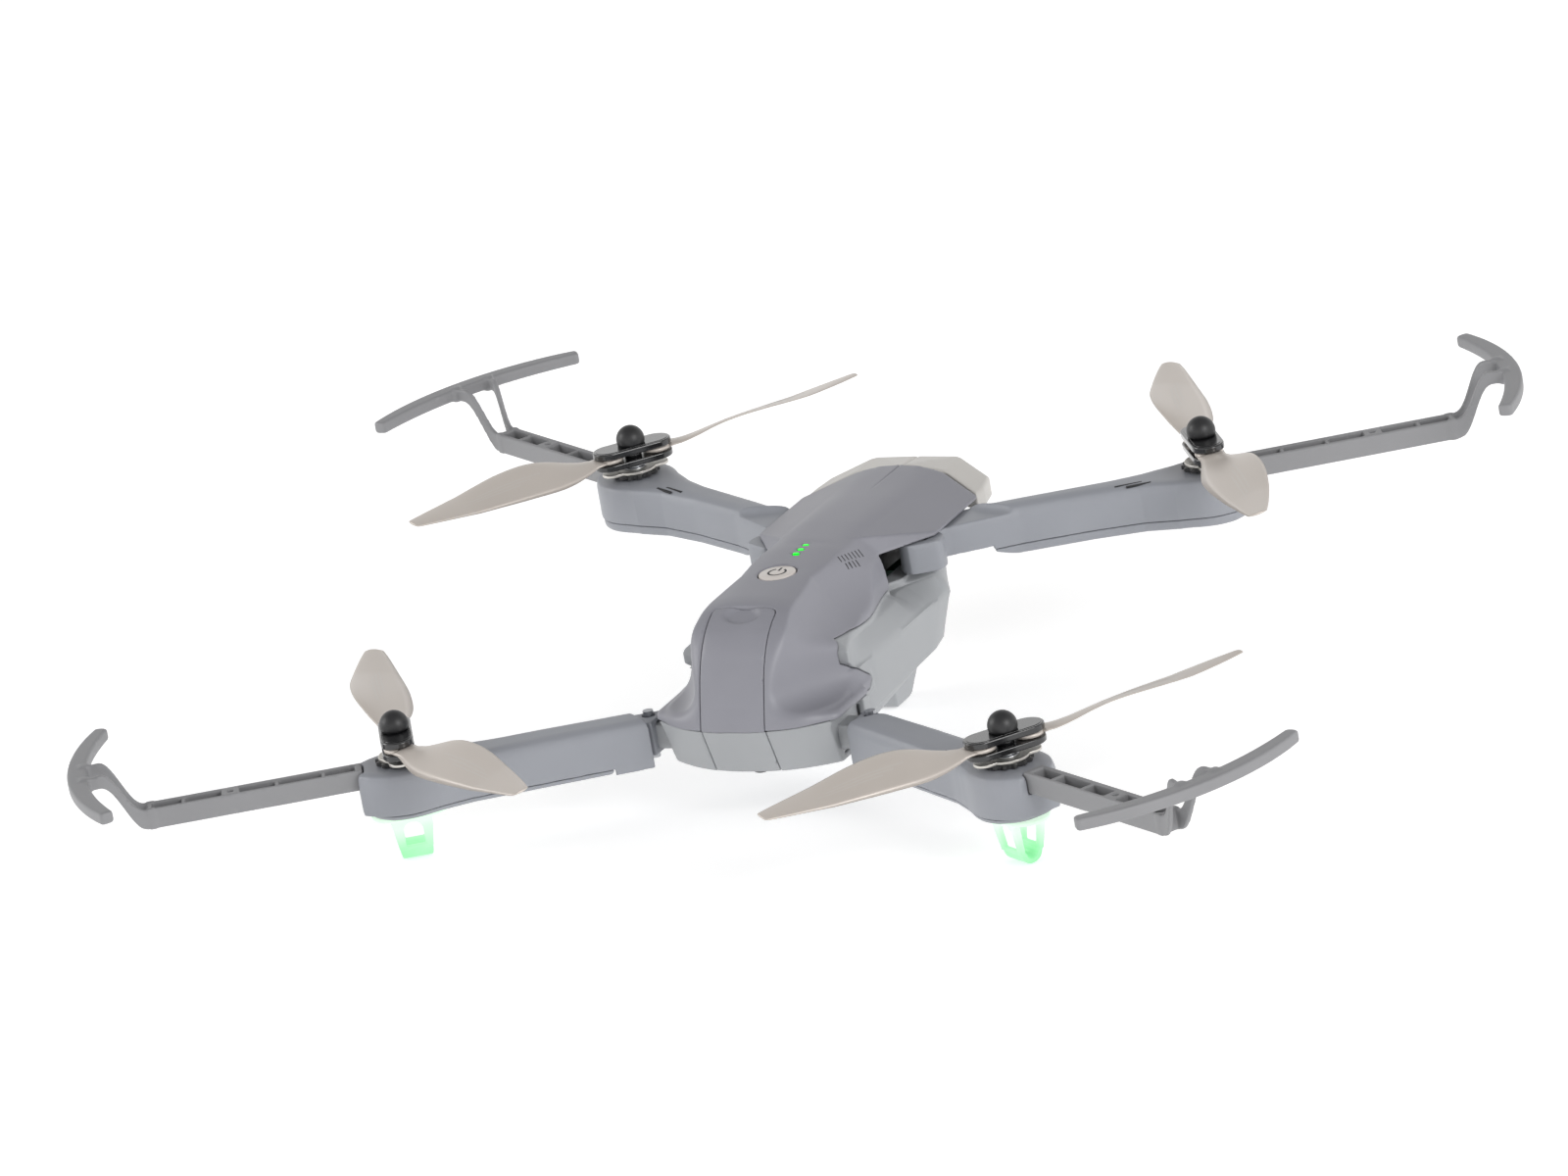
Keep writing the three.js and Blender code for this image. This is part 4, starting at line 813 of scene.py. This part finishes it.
def leg_piece():
    """A strap bent to a V with a round foot and a window in each side, under a lamp's lens."""
    arm = ARMS["rear"]
    c, top = arm["centre"], arm["bottom"] - GAP
    motor = in_arm(arm, *arm["motor"])[0]
    g = Grid((motor - 12, c - 8, GROUND - 1), (motor + 12, c + 8, top + 1), 0.28)
    v, u = g.y - c, g.x - motor
    rise = (g.z - GROUND) / (top - GROUND)
    half = 3.3 + 2.1 * np.clip(rise, 0, 1.2)
    foot = np.sqrt(v ** 2 + (g.z - GROUND - 3.3) ** 2) - 3.3
    arch = np.where(g.z < GROUND + 3.3, foot, (np.abs(v) - half) * 0.98)
    run = 4.2 + 2.0 * rise
    strap = both(np.maximum(arch, -(arch + 1.5)), np.maximum(np.abs(u) - run, g.z - top), 0.5)
    window = np.where(
        g.z > GROUND + 9, np.sqrt(u ** 2 + (g.z - GROUND - 9) ** 2) - 2.7,
        np.maximum(np.abs(u) - 2.7, GROUND + 4.6 - g.z),
    )
    strap = less(strap, window, 0.5)
    wide = np.maximum(np.abs(u) - 4.6, 0)
    lens = both(np.sqrt(wide ** 2 + v ** 2) - 6.4, np.maximum(top - 1.2 - g.z, g.z - top), 0.5)
    return surface(either(strap, lens, 0.8), g)


ARM_SETS = {}
for end in ARMS:
    shell_made, plate_made = arm_pieces(end)
    ARM_SETS[end] = {
        "arm_shell": (shell_made, ARM),
        "arm_bottom_cover": (plate_made, ARM),
        "guard": (guard_piece(end), GUARD),
    }
ARM_SETS["rear"]["leg"] = (leg_piece(), LEG)


# ---------- propellers ----------
def spaced_blade(lead):
    """A thin twisted blade from its pin along x, with the point that a chord fraction has at each x."""
    # place along the blade, chord and share of the full twist
    keys = [
        (0, 8.0, 0), (5.2, 8.0, 0), (8, 8.8, 0.35), (12, 11.6, 0.8), (17, 15.2, 1), (23, 17.2, 0.98),
        (34, 17.0, 0.8), (47, 13.4, 0.6), (60, 8.6, 0.46), (66.2, 6.0, 0.4), (BLADE_LONG, 4.6, 0.38),
    ]
    xs = [k[0] for k in keys]
    near = np.linspace(-4.5, 4.5, 9)

    def soft(x, column):
        reach = min(1.0, max(0.0, (x - 6) / 6), max(0.0, (BLADE_LONG - x) / 3))
        return float(np.mean(np.interp(x + near * reach, xs, [k[column] for k in keys])))

    def point(x, chordwise, up):
        width, twist = soft(x, 1), soft(x, 2)
        pitch = math.radians(20 * twist)
        lift = 1.1 * math.sin(math.pi * min(max(x - 8, 0), 40) / 40) - 0.5
        rise = 2.0 * (max(x - 8, 0) / (BLADE_LONG - 8)) ** 1.3
        thick = 0.75 * (1.1 - 0.4 * x / BLADE_LONG)
        y = chordwise * width + (1.4 * math.sin(math.pi * x / BLADE_LONG) if twist > 0 else 0)
        z = up * thick
        return (
            x, lead * (y * math.cos(pitch) - z * math.sin(pitch)),
            BLADE_Z + rise + lift * twist + y * math.sin(pitch) + z * math.cos(pitch),
        )

    return point


# the blade's section, as shares of chord and thickness: the upper side from front to back, then the lower
UPPER_SIDE = [
    (0.5, 0.12), (0.46, 0.42), (0.36, 0.7), (0.22, 0.84), (0.05, 0.86), (-0.15, 0.74), (-0.34, 0.45),
    (-0.5, 0.02),
]
SECTION = UPPER_SIDE + [(-0.34, -0.2), (-0.15, -0.33), (0.05, -0.36), (0.25, -0.28), (0.42, -0.1)]


def fine_blade(lead):
    point = spaced_blade(lead)
    stations = np.concatenate([np.linspace(3.0, 30, 28), np.linspace(31.5, 66.4, 26), [67.0, BLADE_LONG]])
    rings = [[point(x, a * (1 if x < 67.2 else 0.85), b) for a, b in SECTION] for x in stations]
    if lead < 0:
        rings = [ring[::-1] for ring in rings]
    return loft(rings)


def blade_prints(lead):
    """Three fine raised lines along the blade and a short tick near its root."""
    point = spaced_blade(lead)
    made = []
    lines = ((22, 44, 0.10, 0.018), (26, 47, 0.02, 0.018), (30, 50, -0.06, 0.018), (6.5, 11, 0.1, 0.03))
    for start, end, middle, half in lines:
        xs = np.linspace(start, end, 14)
        verts = []
        for chordwise in (middle - half, middle + half):
            up = float(ramp(sorted(UPPER_SIDE), chordwise))
            verts += [point(x, chordwise, up + 0.035) for x in xs]
        n = len(xs)
        k = np.arange(n - 1)
        quads = np.stack([k, k + 1, k + n + 1, k + n], 1)
        made.append((np.array(verts), [quads if lead < 0 else quads[:, ::-1]], None))
    return made


def blade_eye():
    return upright(circle(4.0, 28), BLADE_Z - 0.5, BLADE_Z + 0.5)


DOME_R, DOME_LOW = 4.15, -1.2
DOME = [(0, DOME_LOW)] + [
    (4.1 * math.cos(t), DOME_R * math.sin(t))
    for t in np.linspace(math.asin(DOME_LOW / DOME_R), math.pi / 2 - 0.02, 14)
] + [(0, DOME_R)]
COLLAR = [(0, -8.4), (3.2, -8.4), (3.2, -8.0), (2.4, -7.9), (2.4, -7.5), (2.9, -7.4), (2.9, -7.1), (0, -7.1)]


def toothed(count=14, root=6.1, tip=7.0):
    """The outline of a ring of square teeth."""
    outline = []
    for i in range(count * 4):
        r, t = tip if i % 4 < 2 else root, math.pi * i / (count * 2)
        outline.append((r * math.cos(t), r * math.sin(t)))
    return outline


def hub_pieces():
    """Each piece of a hub: its name, shape, material and bevel, with heights from the dome's centre."""
    clamp = stadium(PIN, 4.6)
    yield "hub_upper_looks", upright(clamp, -3.4, -1.5), HUB, (0.45, 3)
    yield "hub_rim", upright(stadium(PIN, 3.7), -1.5, -1.38), HUB, (0.1, 2)
    yield "hub_lower_looks", upright(clamp, -6.9, -5.1), HUB, (0.4, 3)
    for n, (x, r) in enumerate(((0, 2.5), (PIN, 1.6), (-PIN, 1.6))):
        yield f"post_{n}", upright(circle(r, 24, x), -5.2, -3.3), HUB, None
    yield "cap_looks", lathe(DOME), CAP, None
    yield "rotor_plate_looks", upright(stadium(6.6, 3.4), -9.2, -8.35), PLATE, (0.2, 2)
    yield "rotor_disc", upright(circle(6.0), -9.18, -8.3), PLATE, (0.2, 2)
    yield "toothed_ring", upright(toothed(), -10.3, -9.2), BLACK, (0.12, 1)
    yield "collar", lathe(COLLAR), STEEL, None


for name, end, side, hub, swings, spin in PROPELLERS:
    arm = ARMS[end]
    motor = in_arm(arm, *arm["motor"])[0]
    to_world = turn_z(arm["angle"])
    at = (*arm["pivot"], 0)
    for piece, (made, material) in ARM_SETS[end].items():
        put(f"{name}_{piece}_looks", made, f"{name}_arm", material, f"{name}_{piece}", to_world, at, side)
    # the sunk arrow and the two slits on the arm's top, drawn as flat dark pieces: painted shade of the
    # recesses
    c, z = arm["centre"], arm["top"]
    recess_shades = [
        [(motor - 17.3, c + 2.6), (motor - 20.3, c + 1.2), (motor - 17.3, c + 0.3)],
        rectangle(motor - 26.5, motor - 18.8, c - 2.2, c - 1.5),
        rectangle(motor - 23.5, motor - 16.5, c - 4.0, c - 3.3),
    ]
    for n, outline in enumerate(recess_shades):
        mark = upright(outline, z - 0.5, z + (0.05 if n else 0.03))
        put(f"{name}_mark_{n}", mark, f"{name}_arm", BLACK_AND_PAINTED_SHADE, None, to_world, at, side)

    here = (side * arm["motor"][0], arm["motor"][1], arm["cap"])
    hub_turn = turn_z(hub)
    for word, made, material, bevel in hub_pieces():
        node = f"{name}_{word[:-6]}" if word.endswith("_looks") else None
        piece = put(f"{name}_{word}", made, f"{name}_propeller", material, node, hub_turn, here)
        if bevel:
            bevelled(piece, *bevel)
    for i, swing in enumerate(swings):
        pin_at = tuple(np.array(here) + hub_turn @ np.array([-PIN if i else PIN, 0, 0]))
        blade_turn = turn_z(hub + swing + 180 * i)
        blade = f"{name}_blade_{'ab'[i]}"
        put(f"{blade}_looks", fine_blade(spin), blade, BLADE, blade, blade_turn, pin_at)
        put(f"{blade}_eye", blade_eye(), blade, BLADE, None, blade_turn, pin_at)
        for n, made in enumerate(blade_prints(spin)):
            put(f"{blade}_print_{n}", made, blade, PRINT, None, blade_turn, pin_at)

# ---------- small pieces on the body ----------
button = lathe([
    (0, 16.9), (6.1, 16.9), (6.1, 18.0), (5.25, 18.0), (5.25, 20.1), (5.1, 20.35), (4.8, 20.48), (0, 20.5),
], 64)
put("power_button_looks", button, "power_button", BUTTON, "power_button", shift=(0, BUTTON_Y, 0))
ring_steps = np.linspace(math.radians(120), math.radians(420), 40)
ring = [(2.75 * math.cos(t), 2.75 * math.sin(t)) for t in ring_steps]
ring += [(2.15 * math.cos(t), 2.15 * math.sin(t)) for t in ring_steps[::-1]]
verts = np.array([(x, y, BUTTON_TOP + 0.02) for x, y in ring])
n = len(ring_steps)
k = np.arange(n - 1)
quads = np.stack([k, k + 1, 2 * n - 2 - k, 2 * n - 1 - k], 1)
put("power_mark_ring", (verts, [quads], None), "power_button", BLACK_AND_PAINTED_SHADE, shift=(0, BUTTON_Y, 0))
bar = upright(rectangle(-0.3, 0.3, 0.9, 3.3), BUTTON_TOP - 0.1, BUTTON_TOP + 0.02)
put("power_mark_bar", bar, "power_button", BLACK_AND_PAINTED_SHADE, shift=(0, BUTTON_Y, 0))

pipe = upright(rectangle(-2.4, 2.4, 73.5, 84.1), 15.8, 17.2)
put("light_pipe_looks", pipe, "body", BLACK_AND_PAINTED_SHADE, "battery_level_lights")
for i, y in enumerate(LIGHT_YS):
    stud = upright(rectangle(-0.8, 0.8, y - 0.5, y + 0.5), 17.4, 21.3)
    bevelled(put(f"light_stud_{i}", stud, "body", GREEN), 0.15, 2)

knob = lathe([
    (0, -26.9), (1.9, -26.9), (2.2, -26.75), (2.5, -26.3), (2.6, -26.0), (2.6, -25.1), (1.6, -25.1),
    (1.6, -23), (0, -23),
], 40)
put("optical_flow_lens_looks", knob, "body", BLACK, "optical_flow_lens", shift=(0, 34.4, 0))

cam = Grid((0, 122, -11), (12.5, 148, 10), 0.3)
drum = both(tube(cam.y, cam.z, CAMERA_Y, 0, 8.6) + 0 * cam.x, cam.x - 8, 0.9)
snout = both(tube(cam.x, cam.z, 0, 0, 6.2) + 0 * cam.y, np.maximum(CAMERA_Y - cam.y, cam.y - 145.8), 0.7)
axle = np.maximum(tube(cam.y, cam.z, CAMERA_Y, 0, 1.6), cam.x - 10.4)
pod = either(either(drum, snout, 0.8), axle, 0.3)
pod = less(pod, np.maximum(tube(cam.x, cam.z, 0, 0, 5), 143.6 - cam.y), 0.3)
put("camera_pod_looks", surface(pod, cam, True), "camera", BLACK, "camera_pod")
lens = lathe([
    (0, 0), (4.6, 0), (4.6, 0.85), (4.3, 1.0), (3.4, 1.2), (2.6, 1.38), (1.6, 1.52), (0.7, 1.58), (0, 1.6),
])
facing_forward = np.array([[1, 0, 0], [0, 0, 1], [0, -1, 0]], float)
put("camera_lens_looks", lens, "camera", GLASS, "camera_lens", facing_forward, (0, 143.9, 0))
back = np.maximum(np.maximum(cam.x - 11, np.abs(cam.z) - 6), np.maximum(123.8 - cam.y, cam.y - 125.6))
from_axle = tube(cam.y, cam.z, CAMERA_Y, 0, 0)
cheek = np.maximum(np.maximum(125 - cam.y, cam.y - CAMERA_Y), np.abs(cam.z) - 4)
cheek = both(np.minimum(cheek, from_axle - 4), np.maximum(9 - cam.x, cam.x - 11), 0.4)
cheek = less(cheek, from_axle - 1.9, 0.2)
put("camera_bracket_looks", surface(either(back, cheek, 0.3), cam, True), "body", BLACK, "camera_bracket")


def crown_height(x, y):
    """Height of the finished top cover at a point."""
    gx, gy = x / body.step, (y - body.low[1]) / body.step
    i, j = int(gx), int(gy)
    u, v = gx - i, gy - j
    column = (
        crown[i, j] * (1 - u) * (1 - v) + crown[i + 1, j] * u * (1 - v)
        + crown[i, j + 1] * (1 - u) * v + crown[i + 1, j + 1] * u * v
    )
    above = np.nonzero(column < 0)[0][-1]
    t = column[above] / (column[above] - column[above + 1])
    return float(body.low[2] + (above + t) * body.step)


def vent_shade_strip(x, y, half, turn, width=0.19):
    """A vent as a thin dark closed strip lying in the top cover's surface and following it: painted shade in
    place of the slit's shadowed inside.
    """
    c, s = math.cos(math.radians(turn)), math.sin(math.radians(turn))
    verts = []
    for t in np.linspace(-half, half, 7):
        for w in (-width, width):
            px, py = x + t * c - w * s, y + t * s + w * c
            verts.append((px, py, crown_height(px, py) + 0.03))
    top = len(verts)
    verts += [(px, py, h - 0.5) for px, py, h in verts]
    quads = []
    for k in range(0, top - 2, 2):
        quads += [(k, k + 1, k + 3, k + 2), (k + top, k + 2 + top, k + 3 + top, k + 1 + top)]
        quads += [(k, k + 2, k + 2 + top, k + top), (k + 1, k + 1 + top, k + 3 + top, k + 3)]
    quads += [(0, top, top + 1, 1), (top - 2, top - 1, 2 * top - 1, 2 * top - 2)]
    return np.array(verts), [np.array(quads)[:, ::-1]], None


# two rows of slanted vents on each side of the crown, drawn as painted shade: ends of the row, number and
# half length
VENT_ROWS = ((12.7, 76.4, 14.4, 86.2, 7, 0.62), (14.4, 76.8, 15.4, 81.4, 4, 0.5))
for word, side in (("right", 1), ("left", -1)):
    for row, (x0, y0, x1, y1, count, half) in enumerate(VENT_ROWS):
        for i in range(count):
            t = i / (count - 1)
            made = vent_shade_strip(x0 + (x1 - x0) * t, y0 + (y1 - y0) * t, half * (1 + 0.5 * t), -24)
            put(f"vent_{word}_{row}_{i}", made, "body", BLACK_AND_PAINTED_SHADE, side=side)

# dark sheets inside the front arms' slots: painted shade standing in for the shadowed inside of the body
for word, side in (("right", 1), ("left", -1)):
    shade_sheet = upright(rectangle(10.3, 10.9, SLOT_Y + 0.6, 121), 4.6, 13.9)
    put(f"slot_lining_{word}", shade_sheet, "body", BLACK_AND_PAINTED_SHADE, side=side)

# carried-over CAD pieces
carried = {"main_circuit_board": BOARD, "battery_cell": BLACK, "battery_contacts": GOLD}
for name, *_ in PROPELLERS:
    carried[f"{name}_motor"] = STEEL
    carried[f"{name}_hinge_pin"] = STEEL
for node, material in carried.items():
    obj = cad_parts[node]
    obj.data.materials.clear()
    obj.data.materials.append(material)

# ---------- floor, lights and camera ----------
floor_mesh = bpy.data.meshes.new("floor")
floor_mesh.from_pydata([(x, y, -0.0004) for x, y in rectangle(-6, 6, -6, 6)], [], [(0, 1, 2, 3)])
floor = bpy.data.objects.new("floor", floor_mesh)
bpy.context.scene.collection.objects.link(floor)
floor_material = bpy.data.materials.new("floor_pale")
floor_material.use_nodes = True
floor_shader = floor_material.node_tree.nodes["Principled BSDF"]
floor_shader.inputs["Base Color"].default_value = (0.9, 0.9, 0.9, 1)
floor_shader.inputs["Roughness"].default_value = 0.9
floor_shader.inputs["Emission Color"].default_value = (1, 1, 1, 1)
floor_shader.inputs["Emission Strength"].default_value = 0.4
floor_mesh.materials.append(floor_material)

world = bpy.data.worlds.new("studio")
world.use_nodes = True
sky = world.node_tree
direction = sky.nodes.new("ShaderNodeTexCoord")
height = sky.nodes.new("ShaderNodeSeparateXYZ")
level = sky.nodes.new("ShaderNodeMapRange")
level.inputs["From Min"].default_value, level.inputs["From Max"].default_value = 0.1, 0.8
level.inputs["To Min"].default_value, level.inputs["To Max"].default_value = 1.25, 0.38
sky.links.new(direction.outputs["Generated"], height.inputs["Vector"])
sky.links.new(height.outputs["Z"], level.inputs["Value"])
sky.links.new(level.outputs["Result"], sky.nodes["Background"].inputs["Strength"])
sky.nodes["Background"].inputs["Color"].default_value = (1, 1, 1, 1)
bpy.context.scene.world = world
bpy.context.scene.view_settings.view_transform = "Standard"


def lamp(name, at, power):
    """A soft round lamp aimed at the drone."""
    data = bpy.data.lights.new(name, "AREA")
    data.shape, data.size, data.energy = "DISK", 0.8, power
    obj = bpy.data.objects.new(name, data)
    obj.location = at
    obj.rotation_euler = (Vector((0, 0, 0.03)) - Vector(at)).to_track_quat("-Z", "Y").to_euler()
    bpy.context.scene.collection.objects.link(obj)


lamp("key", (1.5, -0.7, 0.8), 12)
lamp("left", (-1.4, -0.5, 0.7), 7)

camera_data = bpy.data.cameras.new("camera")
camera_data.sensor_width = 36.0
camera_data.lens = 212.66325
camera_data.clip_end = 50
camera = bpy.data.objects.new("camera", camera_data)
# the camera's right, down and forward directions
look = np.array([
    [0.89626156, 0.41290841, -0.16193163], [-0.00610092, -0.35358872, -0.9353811],
    [-0.44348392, 0.83933406, -0.31438886],
])
place = (np.array([1130.686, -2074.787, 816.431]) + DATUM) / 1000
matrix = np.eye(4)
matrix[:3, 0], matrix[:3, 1], matrix[:3, 2], matrix[:3, 3] = look[0], -look[1], -look[2], place
camera.matrix_world = Matrix(matrix.tolist())
bpy.context.scene.collection.objects.link(camera)
bpy.context.scene.camera = camera

bpy.context.view_layer.update()
